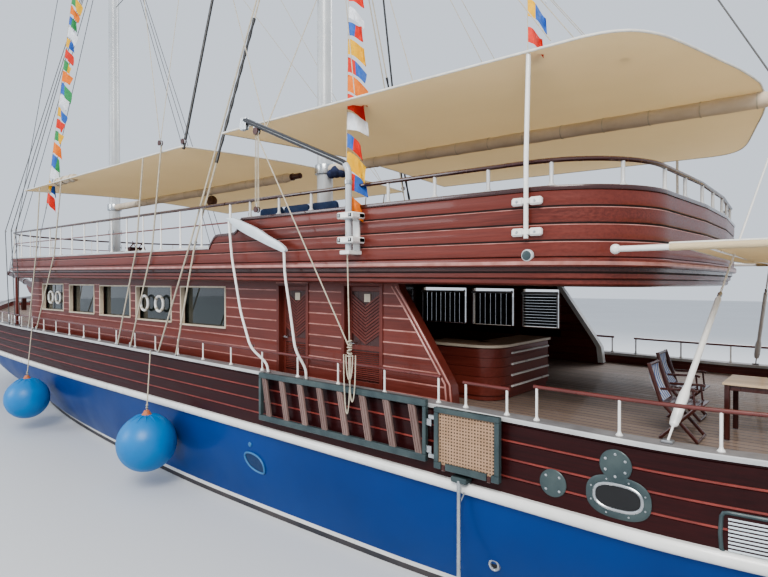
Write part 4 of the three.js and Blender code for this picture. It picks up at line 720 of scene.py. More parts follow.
# the plan outline of the upper deck, the whole way round from the stern's middle by port, grown by an offset
def outline(grow):
    r = upper["corner"] - upper["stern"] - 0.12
    half = hull["breadth"]
    port = [(upper["stern"] - grow, y) for y in np.linspace(0, 0.9, 4)]
    port += [(upper["stern"] - grow + 0.12 * s, 0.9 + (half - r - 0.9) * s) for s in np.linspace(0.2, 0.8, 4)]
    for a in np.linspace(0, pi / 2, 15):
        port.append((upper["corner"] - (r + grow) * cos(a), half - r + (r + grow) * sin(a)))
    straight = np.unique(np.concatenate([np.linspace(upper["corner"], -6.6, 13), np.linspace(-6.5, -5.1, 57),
        np.linspace(-4.9, 6.5, 24)]))
    port += [(x, half + grow) for x in straight[1:]]
    for a in np.linspace(0, pi / 2, 25)[1:]:
        reach = upper["bow"] - upper["bowCorner"]
        port.append((upper["bowCorner"] + (reach + grow) * sin(a), (half + grow) * cos(a)))
    port = np.array(port)
    starboard = port[1:-1][::-1] * [1, -1]
    return np.vstack([port, starboard])


baseLine = outline(0.0)


def ringRow(grow, z):
    plan = outline(grow)
    level = np.broadcast_to(np.asarray(z, float), len(plan))
    return sheared(np.column_stack([plan, level]))


# the wall's top along the outline: high aft, an S-shaped step, low forward
stepShape = [(-6.42, 5.74), (-6.36, 5.7), (-6.27, 5.53), (-6.14, 5.465), (-5.62, 5.455), (-5.52, 5.43),
    (-5.4, 5.33), (-5.3, 5.2)]
wallTop = np.where(baseLine[:, 0] < -6.42, 5.74,
    np.where(baseLine[:, 0] > -5.3, 5.2, through(stepShape, baseLine[:, 0])))


# stations along the deck from end to end, and the outline's half breadth there
def breadths(grow, places, counts, short=0.0):
    plan = outline(grow)
    port = plan[plan[:, 1] >= 0]
    port = port[np.argsort(port[:, 0])]
    ends = (port[0, 0], *places, port[-1, 0] - short)
    xs = np.unique(np.concatenate([np.linspace(a, b, n) for a, b, n in zip(ends, ends[1:], counts)]))
    return xs, np.interp(xs, port[:, 0], port[:, 1])


floorSkin = Shape()
layBoards(floorSkin, *breadths(-0.09, (-12, 6.4), (14, 40, 22), 0.002), lambda x: upper["floor"] + slope * x)
mouldingProfile = [(-0.1, 4.79), (0.0, 4.79), (0.03, 4.795), (0.047, 4.815), (0.05, 4.86), (0.045, 4.89),
    (0.03, 4.905), (-0.1, 4.909)]
# the moulding's outer face carries a pale strip of painted highlight
floorSkin.grid([ringRow(g, z) for g, z in mouldingProfile], "railRed", closed=True,
    rowSlots=["darkWood", "mahogany", "mahogany", "paintedHighlightPale", "mahogany", "mahogany", "railRed"])
floorSkin.make("upperFloorSkin", "rail", "upper_moulding")

# the deck's thickness: a fascia of rounded ribs that step inwards, and a flat underside
fascia = Shape()
ribs = [(-0.02, 4.788), (-0.02, 4.74), (-0.035, 4.725), (-0.05, 4.715), (-0.05, 4.66), (-0.075, 4.645),
    (-0.09, 4.635), (-0.09, 4.585), (-0.11, 4.565), (-0.14, 4.552), (-0.2, 4.55)]
ribTones = [0.3, 0.1, 0.1, 0.3, 0.1, 0.1, 0.2, 0.1, 0.1, 0.1]
# the top rib just under the moulding and the steps between ribs are painted dark as shade
ribSlots = ["darkWood", "darkSeamAndShade", "darkSeamAndShade", "mahogany", "mahogany", "darkSeamAndShade", "mahogany", "mahogany",
    "darkWood", "darkWood"]
fascia.grid([ringRow(g, z) for g, z in ribs], "mahogany", closed=True, rowTones=ribTones, rowSlots=ribSlots)
stations, halves = breadths(-0.2, (-11.5, 6.5), (16, 30, 16))
fascia.grid([sheared(columns(stations, side * halves, 4.551)) for side in (-1, 1)], "darkWood")
for side in (1, -1):  # the two posts on the cap
    fascia.box((6.8, side * 3.72 - 0.05, 3.0), (6.9, side * 3.72 + 0.05, 4.64), "mahoganyUp", 0.012)
fascia.make("fasciaSkin", "dark_wood", "upper_deck")

# planked wall: four planks with rounded edges, each with a pale strip of painted highlight near its top edge
# and dark seam lines between planks, smooth inside
wall = Shape()
wallRows, wallSlots, wallTones = [], [], []
low, high = upper["floor"], 5.74
for k in range(upper["planks"]):
    tone = rng.random() * 0.8
    for share, grow, slot in ((0.0, -0.006, "darkSeamAndShade"), (0.035, 0.003, "mahogany"), (0.1, 0.008, "mahogany"),
            (0.5, 0.01, "mahogany"), (0.84, 0.009, "mahogany"), (0.87, 0.01, "paintedHighlightPale"),
            (0.925, 0.002, "darkSeamAndShade"), (0.955, -0.008, "darkSeamAndShade")):
        z = low + (high - low) * (k + share) / upper["planks"]
        wallRows.append(ringRow(grow, np.minimum(z, wallTop)))
        wallSlots.append(slot if not (k == upper["planks"] - 1 and share > 0.6) else "mahogany")
        wallTones.append(tone)
wallRows.append(ringRow(-0.004, wallTop))
wall.grid(wallRows, "mahogany", closed=True, rowSlots=wallSlots, rowTones=wallTones)
wall.grid([ringRow(-0.08, wallTop), ringRow(-0.08, upper["floor"])], "darkWood", closed=True)
wall.grid([ringRow(-0.004, wallTop), ringRow(-0.08, wallTop)], "mahogany", closed=True)


def partRing(grow, z, mask):
    row = ringRow(grow, z)
    count = len(row)
    first = next(i for i in range(count) if mask[i] and not mask[i - 1])
    picked = [(first + k) % count for k in range(int(mask.sum()))]
    return row[picked]


# a closed profile along part of the outline, with its ends shut
def moulding(shape, profile, mask, slot):
    rows = [partRing(g, z, mask) for g, z in profile]
    shape.grid(rows + rows[:1], slot)
    for end in (0, -1):
        shape.cap([row[end] for row in rows], slot)


capProfile = [(-0.12, 5.72), (-0.12, 5.772), (-0.11, 5.78), (0.008, 5.782), (0.02, 5.775), (0.026, 5.75),
    (0.02, 5.725), (-0.002, 5.72)]
moulding(wall, capProfile, baseLine[:, 0] < -6.4, "railDark")
stepXs = np.linspace(-6.42, -5.3, 45)
stepLine = columns(stepXs, through(stepShape, stepXs))
for side in (1, -1):  # the cap follows the S of the step
    rowsStep = [sheared([(x + dx, side * (hull["breadth"] + g), z + dz) for x, z in stepLine])
        for g, dx, dz in ((-0.1, 0, -0.004), (-0.1, 0.014, 0.04), (0.02, 0.014, 0.04), (0.025, 0, -0.004))]
    wall.grid(rowsStep + rowsStep[:1], "railDark")
wall.make("upperWall", "mahogany", "upper_bulwark")

sill = Shape()
sillProfile = [(-0.12, 5.202), (-0.12, 5.242), (-0.112, 5.25), (0.022, 5.25), (0.03, 5.242),
    (0.03, 5.21), (0.02, 5.202)]
moulding(sill, sillProfile, baseLine[:, 0] > -5.32, "greyWhite")
sill.make("upperSillSkin", "cap", "upper_sill")
print("upper works")


# rails of the upper deck
def postAt(shape, x, y, low, high, radius, slot):
    profile = [(0, radius * 2.4), (0.008, radius * 2.4), (0.03, radius * 1.35), (0.055, radius)]
    profile += [(high - low, radius)]
    shape.turned((x, y, low), (0, 0, 1), profile, slot, 10)


def alongRing(mask, grow, spacing, start=0.0):
    row = partRing(grow, 0.0, mask)[:, :2]
    lengthsAlong = np.concatenate([[0], np.cumsum(norm(np.diff(row, axis=0), axis=1))])
    count = round((lengthsAlong[-1] - 2 * start) / spacing)
    places = np.linspace(start, lengthsAlong[-1] - start, count + 1)
    return np.stack([np.interp(places, lengthsAlong, row[:, k]) for k in (0, 1)], axis=1)


upperRail = {"radius": 0.038, "flat": 0.8, "post": 0.025, "grow": -0.06}
railAft = Shape()
railAft.tube(partRing(upperRail["grow"], upper["rail"], baseLine[:, 0] < -5.78), upperRail["radius"],
    "railDark", 10, flat=upperRail["flat"])
for x, y in alongRing(baseLine[:, 0] < -6.45, upperRail["grow"], 0.85, 0.1):
    postAt(railAft, x, y, upper["cap"] + slope * x, upper["rail"] + slope * x, upperRail["post"], "greyWhite")
railAft.make("upperRailAft", "rail", "upper_rail_aft")

railFore = Shape()
railFore.tube(partRing(upperRail["grow"], upper["rail"], baseLine[:, 0] > -5.78), upperRail["radius"],
    "railDark", 10, flat=upperRail["flat"])
railFore.tube(partRing(upperRail["grow"], upper["mid"], baseLine[:, 0] > -6.0), 0.016, "railRed", 8)
for x, y in alongRing(baseLine[:, 0] > -5.2, upperRail["grow"], 0.84, 0.3):
    postAt(railFore, x, y, upper["sill"] + slope * x, upper["rail"] + slope * x,
        upperRail["post"] - 0.006, "white")
for side in (1, -1):
    postAt(railFore, -5.93, side * 3.84, 5.44, upper["rail"] + slope * -5.93, upperRail["post"], "white")
railFore.make("upperRailFore", "rail", "upper_rail_forward")
print("upper rails")

# lower rails on the cap
lowerRail = {"inset": 0.1, "radius": 0.024, "post": 0.017}
runs = [
    ("lowerRailPort", 1, -10.93, 13.2, 0.37, "lower_rail_port", 1.01),
    ("lowerRailGate", 1, -12.0, -11.3, 0.34, "lower_rail_gate", 0.7),
    ("lowerRailAftPort", 1, -15.4, -12.33, 0.42, "lower_rail_aft_port", 1.02),
    ("lowerRailStarboard", -1, -10.93, 13.2, 0.37, "lower_rail_starboard", 1.01),
    ("lowerRailAftStarboard", -1, -15.4, -11.4, 0.37, "lower_rail_aft_starboard", 1.0),
]


def capPoint(x, side, inset, lift):
    z = capAt(x)
    y = float(hullY(lengthAt(x, z), z))
    step = 0.05
    yb = float(hullY(lengthAt(x - step, z), z))
    yf = float(hullY(lengthAt(x + step, z), z))
    return np.array([x, side * (y - inset * hypot(1, (yf - yb) / (2 * step))), z + lift])


for name, side, x0, x1, height, node, spacing in runs:
    shape = Shape()
    count = max(1, round((x1 - x0) / spacing))
    fineX = np.linspace(x0, x1, max(3, int((x1 - x0) / 0.4)))
    shape.tube([capPoint(x, side, lowerRail["inset"], height) for x in fineX],
        lowerRail["radius"], "railRed", 10)
    if name in ("lowerRailPort", "lowerRailStarboard"):
        foreX = fineX[fineX > -4.5]
        shape.tube([capPoint(x, side, lowerRail["inset"], height * 0.48) for x in foreX], 0.009, "railRed", 6)
    for x in np.linspace(x0 + 0.04, x1 - 0.04, count + 1):
        foot = capPoint(x, side, lowerRail["inset"], 0.0)
        postAt(shape, foot[0], foot[1], foot[2], foot[2] + height, lowerRail["post"], "white")
    shape.make(name, "rail", node)
print("lower rails")

# deckhouse sides: seams every 0.2 m, cut by windows and doors
house = {"outer": 3.35, "thick": 0.14, "front": 6.6, "bulkhead": -5.35, "pitch": 0.2}
windows = [(-5.01, -3.23, 3.49, 4.35), (-2.77, -1.03, 3.52, 4.35), (-0.67, 1.14, 3.55, 4.36),
    (1.55, 3.3, 3.56, 4.38), (3.81, 5.56, 3.58, 4.4)]
barWindows = [(-9.75, -8.79, 3.3, 4.3), (-8.5, -7.28, 3.3, 4.32), (-7.03, -5.55, 3.3, 4.33)]
doors = [(-9.41, -8.6), (-7.61, -6.83)]
doorTop, doorSill = 4.4, 0.1


def wingEdge(z):  # the raked aft edge of the side wall
    foot, head = -10.85, -9.85
    top = 4.55 + slope * head - 0.12
    return np.interp(z, [2.4, 2.95, top, top + 0.12], [foot, foot + 0.06, head, head + 0.1])


def sideWall(side, holes):
    shape = Shape()
    y0, y1 = side * (house["outer"] - house["thick"]), side * house["outer"]
    levels = [4.30 - house["pitch"] * k for k in range(-1, 10)][::-1]
    bend = lambda p: columns(p[:, 0], p[:, 1], p[:, 2] + slope * (p[:, 0] + 8.0))
    shape.grid([sheared([(x, y0, z) for x in (wingEdge(2.5) + 0.05, house["front"])]) for z in (2.55, 2.56)],
        "darkWood")
    for k, z0 in enumerate(levels[:-1]):
        z1 = levels[k + 1]
        spans = [(float(wingEdge(z1)) - 0.02, house["front"])]
        for aft, fore, low, high in holes:
            mid = 0.5 * (z0 + z1) + slope * (0.5 * (aft + fore) + 8)
            if low - 0.07 < mid < high + 0.07:
                spans = [piece for a, b in spans for piece in ((a, min(b, aft - 0.03)),
                    (max(a, fore + 0.03), b)) if piece[1] - piece[0] > 0.03]
        for a, b in spans:
            tone = rng.random()
            shape.box((a, y0, z0), (b, y1, z1 - 0.004), "mahogany", 0.012, tone, bend)
            # a pale strip over each seam: painted highlight on the plank's rounded edge
            if z1 < 4.45:
                a = a + 0.08 if a < -9.5 else a
                shape.box((a + 0.01, y1 - side * 0.01, z1 - 0.016), (b - 0.01, y1 + side * 0.006, z1 + 0.012),
                    "paintedHighlightPale", 0.007, 0.5, bend)
    for aft, fore, low, high in holes:  # rails over and under each hole fill the wall to the frame
        shape.box((aft - 0.06, y0, high), (fore + 0.06, y1 - side * 0.004, high + 0.16),
            "mahogany", 0.004, 0.3)
        if low > 3.0:
            shape.box((aft - 0.06, y0, low - 0.2), (fore + 0.06, y1 - side * 0.004, low),
                "mahogany", 0.004, 0.3)
    return shape


def frameRound(shape, side, aft, fore, low, high, slot, width=0.05, proud=0.012, depth=0.1, sill=True):
    y0, y1 = side * (house["outer"] - depth), side * (house["outer"] + proud)
    shape.box((aft - width, y0, high - 0.005), (fore + width, y1, high + width), slot, 0.006)
    shape.box((aft - width, y0, low), (aft + 0.005, y1, high), slot, 0.006)
    shape.box((fore - 0.005, y0, low), (fore + width, y1, high), slot, 0.006)
    if sill:
        shape.box((aft - width, y0, low - width), (fore + width, y1 + side * 0.01, low + 0.005), slot, 0.006)


doorHoles = [(aft, fore, deckAt(aft) + doorSill, doorTop) for aft, fore in doors]
portWall = sideWall(1, windows + doorHoles)
for w in windows:
    frameRound(portWall, 1, *w, "cream", 0.032)
for d in doorHoles:
    frameRound(portWall, 1, *d, "mahoganyUp", 0.07, 0.018, sill=False)
    # a pale strip over the door head, in the painted highlight pink
    portWall.box((d[0] - 0.07, 3.22, d[3] + 0.045), (d[1] + 0.07, 3.375, d[3] + 0.065), "paintedHighlightPale", 0.004)
    portWall.box((d[0], 3.2105, d[2] - 0.1), (d[1], 3.36, d[2] - 0.002), "darkWood", 0.006)
starWall = sideWall(-1, windows + barWindows)
for w in windows + barWindows:
    frameRound(starWall, -1, *w, "cream", 0.032)
# double trim on the raked edge; on port the tubes are painted in the pale highlight pink
for side, shape, slot in ((1, portWall, "paintedHighlightPale"), (-1, starWall, "white")):
    for shift in (0, 0.085):
        line = [(float(wingEdge(z)) + shift, side * (house["outer"] + 0.012), z + slope * -2.3)
            for z in np.linspace(2.62, 4.42, 12)]
        shape.tube(line, 0.018, slot, 8)
    edge = [(float(wingEdge(z)) - 0.005, z + slope * -2.3) for z in np.linspace(2.56, 4.55, 12)]
    y0, y1 = side * 3.19, side * 3.365
    margin = [[(x + 0.09, y0, z), (x - 0.03, y0, z), (x - 0.03, y1, z), (x + 0.09, y1, z)] for x, z in edge]
    shape.grid(margin, "mahoganyUp" if side > 0 else "white", closed=True)
portWall.make("housePort", "mahogany", "house_side_port")
starWall.make("houseStarboard", "mahogany", "house_side_starboard")

front = Shape()
frontWindows = [(-2.5, 0.45), (-1.35, 0.45), (1.35, 0.45), (2.5, 0.45)]
x0, x1 = house["front"] - 0.1, house["front"]
cuts = sorted([-3.2] + [y + s * h for y, h in frontWindows for s in (-1, 1)] + [3.2])
for k in range(len(cuts) - 1):
    a, b = cuts[k], cuts[k + 1]
    isWindow = k % 2 == 1
    for z0 in np.arange(2.76, 4.6, 0.2):
        z1 = min(z0 + 0.196, 4.62)
        if isWindow and z1 > 3.56 and z0 < 4.34:
            z1 = 3.55 if z0 < 3.5 else z1
            z0 = max(z0, 4.35) if z0 > 3.9 else z0
            if z1 > 3.56 and z0 < 4.34:
                continue
        if z1 - z0 > 0.02:
            front.box((x0, a, z0), (x1, b, z1), "mahogany", 0.01)
for y, h in frontWindows:
    for a, b, c, d in ((y - h - 0.05, y + h + 0.05, 4.34, 4.4), (y - h - 0.05, y + h + 0.05, 3.5, 3.56),
            (y - h - 0.05, y - h + 0.01, 3.5, 4.4), (y + h - 0.01, y + h + 0.05, 3.5, 4.4)):
        front.box((x1 - 0.06, a, c), (x1 + 0.015, b, d), "cream", 0.006)
front.make("houseFrontSkin", "mahogany", "house_front")
print("deckhouse")

# glass behind the openings, curtains, the rings on the windows, and the walls across the house
glass = {"aft": -5.1, "fore": 5.65, "low": 3.42, "high": 4.42, "y": 3.204}
for name, side in (("Port", 1), ("Starboard", -1)):
    pane = Shape()
    outer, inner = side * (glass["y"] - 0.001), side * (glass["y"] - 0.011)
    pane.box((glass["aft"], inner, glass["low"]), (glass["fore"], outer, glass["high"]), "glass", 0.001)
    pane.make("glass" + name, "glass", "glass_" + name.lower())
drapes = Shape()
for side in (1, -1):
    for aft, fore, low, high in windows:
        for a, b in ((aft - 0.02, aft + 0.3), (fore - 0.3, fore + 0.02)):
            across = np.linspace(a, b, 25)
            fold = 0.02 * np.sin((across - a) * 2 * np.pi / 0.08)
            rows = [columns(across, side * (3.15 + fold), z) for z in (low - 0.03, high + 0.02)]
            drapes.grid(rows, "curtain")
drapes.make("saloonCurtains", "cloth")

buoy = {"radius": 0.19, "thick": 0.034, "places": ((-2.12, 3.93), (-1.36, 3.93), (4.37, 3.98), (4.98, 3.98))}
lifebuoys = Shape()
for side in (1, -1):
    for x, z in buoy["places"]:
        turn = turns(48)
        path = columns(x + buoy["radius"] * np.cos(turn), side * 3.3, z + buoy["radius"] * np.sin(turn))
        lifebuoys.tube(path, buoy["thick"], "white", 14, closed=True)
        for k in range(4):
            a = np.pi / 4 + k * np.pi / 2
            centre = np.array([x + buoy["radius"] * cos(a), side * 3.3, z + buoy["radius"] * sin(a)])
            along = np.array([-sin(a), 0, cos(a)])
            lifebuoys.tube([centre - 0.025 * along, centre + 0.025 * along],
                buoy["thick"] + 0.004, "rope", 14)
lifebuoys.make("lifebuoys", "hull_white")

crossWalls = Shape()
x0, x1 = house["bulkhead"], house["bulkhead"] + 0.06
doorway = {"low": -2.2, "high": -1.35, "top": 4.3}
for a, b, base in ((-3.2, doorway["low"], 0), (doorway["low"], doorway["high"], 1),
        (doorway["high"], 3.2, 0)):
    start, end = (doorway["top"], 4.46) if base else (2.66, 4.46)
    for z0 in np.arange(start, end, 0.2):
        z1 = min(z0 + 0.197, end)
        crossWalls.box((x0 + 0.002, a, z0), (x1, b, z1), "darkWood", 0.008)
crossWalls.make("bulkheadSkin", "dark_wood", "house_bulkhead")
print("glass and walls")


# doors: a framed leaf with carved chevrons, slats low down, a lever and a bare plate
def doorLeaf(name, aft, fore, body, node):
    low = deckAt(aft) + doorSill + 0.008
    a, b, top = aft + 0.008, fore - 0.006, doorTop - 0.006
    y0, y1 = 3.212, 3.255
    leaf = Shape()
    leaf.box((a, y0, low), (b, y1 - 0.016, top), "darkUp", 0.003)
    stile = 0.075
    for p, q, r, s in ((a, a + stile, low, top), (b - stile, b, low, top),
            (a + stile, b - stile, top - 0.09, top), (a + stile, b - stile, low, low + 0.12),
            (a + stile, b - stile, low + 0.66, low + 0.75)):
        leaf.box((p, y0, r), (q, y1, s), "mahoganyUp", 0.006)
    left, right = a + stile, b - stile
    middle = 0.5 * (left + right)
    rise = 0.62 * (right - middle)
    chevron, slat = 0.058, 0.033  # pitches
    for k in range(22):  # two slanting slats that meet in the middle
        z = low + 0.76 + chevron * k
        if z + rise + 0.05 > top - 0.09:
            continue
        for p, q, zp, zq in ((left, middle, z + rise, z), (middle, right, z, z + rise)):
            ring = [(p, zp), (q, zq), (q, zq + 0.04), (p, zp + 0.04)]
            back = [(x, y1 - 0.018, zz) for x, zz in ring]
            face = [(x, y1 - 0.004, zz) for x, zz in ring]
            leaf.grid([back, face], "mahoganyUp", closed=True)
            leaf.cap(face, "mahoganyUp", rng.random())
    for k in range(15):
        z = low + 0.15 + slat * k
        leaf.grid([[(left, y1 - 0.018, z), (right, y1 - 0.018, z)],
            [(left, y1 - 0.002, z + 0.008), (right, y1 - 0.002, z + 0.008)],
            [(left, y1 - 0.018, z + 0.026), (right, y1 - 0.018, z + 0.026)]], "mahoganyUp")
    leaf.box((middle - 0.11, y1 - 0.017, top - 0.27), (middle + 0.03, y1 + 0.001, top - 0.13), "cream", 0.004)
    leaf.turned((b - 0.05, y1 - 0.002, 3.4), (0, 1, 0),
        [(0, 0.028), (0.012, 0.028), (0.014, 0.013), (0.045, 0.012), (0.047, 0)], "steel", 14)
    leaf.tube([(b - 0.05, 3.294, 3.4), (b - 0.1, 3.296, 3.402), (b - 0.18, 3.294, 3.396)],
        [0.011, 0.011, 0.008], "steel", 10)
    for z in (low + 0.3, top - 0.35):
        leaf.tube([(a + 0.004, y0 + 0.014, z), (a + 0.004, y0 + 0.014, z + 0.1)], 0.006, "steel", 10)
    leaf.make(name, "dark_wood", node, body)


for (aft, fore), body, node, name in zip(doors, ("aft_door", "forward_door"), ("door_aft", "door_forward"),
        ("doorAft", "doorForward")):
    doorLeaf(name, aft, fore, body, node)
print("doors")

# rudder, propeller and bowsprit
rudderX, shaftZ = -14.2, -1.3
blade = Shape()
blade.tube([(rudderX, 0, -2.109), (rudderX, 0, 0.0)], 0.06, "steel", 20)
profile = [(-0.76, 0.006), (-0.6, 0.03), (-0.3, 0.055), (0.0, 0.06), (0.14, 0.05), (0.2, 0.012)]
rings = []
for share in np.linspace(0, 1, 7):
    z = -2.02 + 1.12 * share
    rake = 0.05 * share
    ringPoints = [(rudderX + x + rake * (x < -0.5), y, z + 0.07 * (x < -0.3) * (1 - share))
        for x, y in profile]
    rings.append(ringPoints + [(x, -y, z) for x, y, z in ringPoints[::-1]])
blade.grid(rings, "antifouling", closed=True)
for r in (rings[0], rings[-1]):
    blade.cap(r, "antifouling")
blade.make("rudderSkin", "antifouling", "rudder", "steered_rudder")

screw = Shape()
screw.turned((-12.6403, 0, shaftZ), (-1, 0, 0),
    [(0, 0.001), (0, 0.09), (0.18, 0.088), (0.27, 0.075), (0.32, 0.045), (0.34, 0.001)], "bronze", 28)
for k in range(4):  # blade: radius and sweep by parameter u, pitch eases outwards, section a thin lens
    turn = pi / 2 * k
    u = np.linspace(0, 1, 9)
    radius = 0.05 + 0.365 * u
    chord = 0.055 + 0.16 * np.sin(np.pi * np.clip(u, 0, 1) ** 0.9) ** 0.8
    twist = np.radians(62 - 30 * u)
    for lift in (1, -1):
        rows = []
        for r, c, t in zip(radius, chord, twist):
            v = np.linspace(-1, 1, 9)
            thick = 0.014 * (1 - v ** 2) * (1 - 0.7 * (r / 0.42))
            along = v * c * 0.5
            x = -12.81 + along * sin(t) + lift * thick * cos(t)
            side = along * cos(t) - lift * thick * sin(t)
            y = r * cos(turn) - side * sin(turn)
            z = shaftZ + r * sin(turn) + side * cos(turn)
            rows.append(columns(x, y, z))
        screw.grid(rows, "bronze")
screw.make("screwSkin", "bronze", "propeller", "screw")

sprit = {"heel": (13.6, 0, 3.74), "end": (20.6, 0, 5.0)}
spar = Shape()
heel, end = np.array(sprit["heel"]), np.array(sprit["end"])
length = norm(end - heel)
spar.turned(heel, end - heel, [(0, 0.001), (0, 0.15), (0.03, 0.17), (length * 0.4, 0.155),
    (length - 0.27, 0.104), (length - 0.27, 0.128), (length - 0.02, 0.128), (length, 0.11),
    (length, 0.001)], "darkWood", 28)
for share in (0.32, 0.36, 0.62):
    spar.turned(heel + (end - heel) * share, end - heel, band(0.14, 0.163, 0.06), "steel", 28)
spar.box((13.45, -0.24, deckAt(13.6)), (13.75, 0.24, 3.98), "mahogany", 0.02)
knee = [(15.9, 3.84), (16.75, 3.84), (17.2, 3.98), (17.6, 4.3), (17.5, 4.5), (15.9, 4.2)]
plate(spar, knee, -0.09, 0.09, "mahogany")
spar.make("bowspritSkin", "mahogany", "bowsprit")
print("bowsprit, rudder and screw")

# masts with bands, truck and a boot where each passes the deck; booms under a cloth cover
masts = {"main": {"x": 7.63, "top": 28.6, "hounds": 19.6},
    "mizzen": {"x": -4.65, "top": 26.8, "hounds": 18.1}}
spars = {"mastRadius": 0.22, "hounds": 0.86, "head": 0.5, "boomRadius": 0.13}
booms = {"main": {"from": 7.4, "to": -3.7, "level": 7.459, "slope": 0.0079},
    "mizzen": {"from": -4.88, "to": -14.85, "level": 7.535, "slope": 0.0179}}


def mastRadiusAt(mast, z):
    share = (z - mast["foot"]) / (mast["hounds"] - mast["foot"])
    return spars["mastRadius"] * (1 - (1 - spars["hounds"]) * np.clip(share, 0, 1))


for key, mast in masts.items():
    mast["foot"] = deckAt(mast["x"] + 0.22) + 0.0003
    stick = Shape()
    full = spars["mastRadius"]
    top = mast["top"]
    profile = [(0, 0.001), (0, full)]
    profile += [(z - mast["foot"], float(mastRadiusAt(mast, z)))
        for z in np.linspace(mast["foot"] + 1, mast["hounds"], 9)]
    profile += [(top - mast["foot"], full * spars["head"]), (top - mast["foot"], 0.001)]
    stick.turned((mast["x"], 0, mast["foot"]), (0, 0, 1), profile, "mast", 36)
    stick.turned((mast["x"], 0, top - 0.02), (0, 0, 1),
        [(0, 0.001), (0, 0.12), (0.02, 0.16), (0.05, 0.16), (0.08, 0.12), (0.08, 0.001)], "white", 28)
    upperFloorZ = upper["floor"] + slope * mast["x"]
    stick.turned((mast["x"], 0, upperFloorZ + 0.004), (0, 0, 1),
        [(0, 0.223), (0, 0.31), (0.05, 0.31), (0.07, 0.27), (0.2, 0.235), (0.22, 0.221)], "white", 32)
    for z in (upperFloorZ + 0.9, upperFloorZ + 1.5):  # cleats
        r = float(mastRadiusAt(mast, z))
        for a in (0.6, 2.5, 3.9, 5.4):
            c, s = cos(a), sin(a)
            foot = np.array([mast["x"] + (r - 0.005) * c, (r - 0.005) * s, z])
            out = np.array([c, s, 0])
            stick.tube([foot, foot + 0.05 * out], 0.018, "steel", 8)
            stick.tube([foot + 0.06 * out - [0, 0, 0.1], foot + 0.055 * out, foot + 0.06 * out + [0, 0, 0.1]],
                [0.009, 0.016, 0.009], "steel", 8)
    for z, high in ((mast["hounds"] - 1.2, 0.1), (mast["hounds"] + 0.2, 0.12), (top - 0.5, 0.1)):
        share = np.clip((z - mast["hounds"]) / (top - mast["hounds"]), 0, 1)
        r = float(mastRadiusAt(mast, z)) if z < mast["hounds"] else full * (
            spars["hounds"] + (spars["head"] - spars["hounds"]) * share)
        stick.turned((mast["x"], 0, z), (0, 0, 1), band(r, r + 0.025, high), "steel", 28)
    stick.make(key + "MastSkin", "mast", key + "_mast")


def boomLevel(key, x):
    return booms[key]["level"] + booms[key]["slope"] * x


for key, boom in booms.items():
    mast = masts[key]
    cover = Shape()
    stations = np.linspace(boom["from"], boom["to"], 60)
    lumps = 0.004 * np.sin(np.arange(60) * 1.7) + 0.003 * np.sin(np.arange(60) * 0.61)
    radius = np.full(60, spars["boomRadius"] - 0.006) + lumps * 0.6
    radius[-3:] = 0.085
    path = [(x, 0, boomLevel(key, x)) for x in stations]
    cover.tube(path[:-2], radius[:-2], "boomCover", 24)
    tip = np.array(path[-1])
    back = np.array(path[-3])
    cover.turned(back, tip - back,
        [(0, 0.086), (0, 0.1), (0.05, 0.1), (0.05, 0.08), (norm(tip - back) - 0.03, 0.078),
        (norm(tip - back), 0.05), (norm(tip - back), 0.001)], "darkWood", 24)
    gooseneck = boomLevel(key, mast["x"])
    r = float(mastRadiusAt(mast, gooseneck))
    cover.turned((mast["x"], 0, gooseneck - 0.12), (0, 0, 1),
        [(0, r + 0.0004), (0, r + 0.055), (0.02, r + 0.06), (0.22, r + 0.06), (0.24, r + 0.055),
        (0.24, r + 0.0004)], "steel", 32)
    for share in np.linspace(0.08, 0.94, 12):  # lashings round the cover
        x = boom["from"] + (boom["to"] - boom["from"]) * share
        cover.turned((x, 0, boomLevel(key, x)), (-1, 0, -boom["slope"]), band(0.12, 0.1295, 0.02), "rope", 20)
    cover.make(key + "BoomSkin", "cloth", key + "_boom")
print("masts and booms")

# awnings: a crowned sheet over each boom, with a white hem round its edge
awning = {"drop": 0.16, "thick": 0.012, "aftHalf": 3.95, "foreHalf": 3.9}


def crown(key, x, y):
    top = boomLevel(key, x) + spars["boomRadius"] + 0.0004
    return top - awning["drop"] * np.abs(y / 4) ** 1.4


def awningSheet(name, key, xs, halves, node):
    xs, halves = np.asarray(xs, float), np.asarray(halves, float)
    across = np.linspace(-1, 1, 65)
    sheet = Shape()
    lower, higher = [], []
    for x, half in zip(xs, halves):
        y = across * half
        sag = 0.012 * np.sin(np.abs(across) * np.pi) * (0.5 + 0.5 * np.cos(x * 2 * np.pi / 2.4))
        z = crown(key, x, y) + 0.008 + sag
        lower.append(columns(x, y, z))
        higher.append(columns(x, y, z + awning["thick"]))
    lower, higher = np.array(lower), np.array(higher)
    for rows in (lower, higher, (lower[:, 0], higher[:, 0]), (lower[:, -1], higher[:, -1]),
            (lower[0], higher[0]), (lower[-1], higher[-1])):
        sheet.grid(rows, "canvas")
    made = sheet.make(name, "cloth", node)
    edge = np.vstack([lower[0][::4], lower[1:-1, -1], lower[-1][::-1][::4], lower[:, 0][::-1][1:-1]])
    edge[:, 2] += awning["thick"] * 0.5
    hem = Shape()
    hem.tube(edge, 0.013, "hem", 8, closed=True, flat=1.3)
    hem.make(name + "Hem", "hull_white")


endTurn = np.linspace(0.08, 1.45, 26)
endShape = [(0.0, -14.38), (0.5, -14.33), (1.3, -14.2), (1.9, -14.06), (2.55, -13.91), (3.35, -13.7),
    (3.72, -13.5), (3.9, -13.24), (3.95, -13.0)]
endHalves = awning["aftHalf"] * np.cos(endTurn)
aftStations = np.concatenate([np.linspace(-5.8, -13.0, 41), through(endShape, endHalves)])
aftHalves = np.concatenate([np.full(41, awning["aftHalf"]), endHalves])
awningSheet("awningAft", "mizzen", aftStations, aftHalves, "awning_aft")
awningSheet("awningFore", "main", np.linspace(-4.28, 5.5, 51), np.full(51, awning["foreHalf"]),
    "awning_forward")
print("awnings")

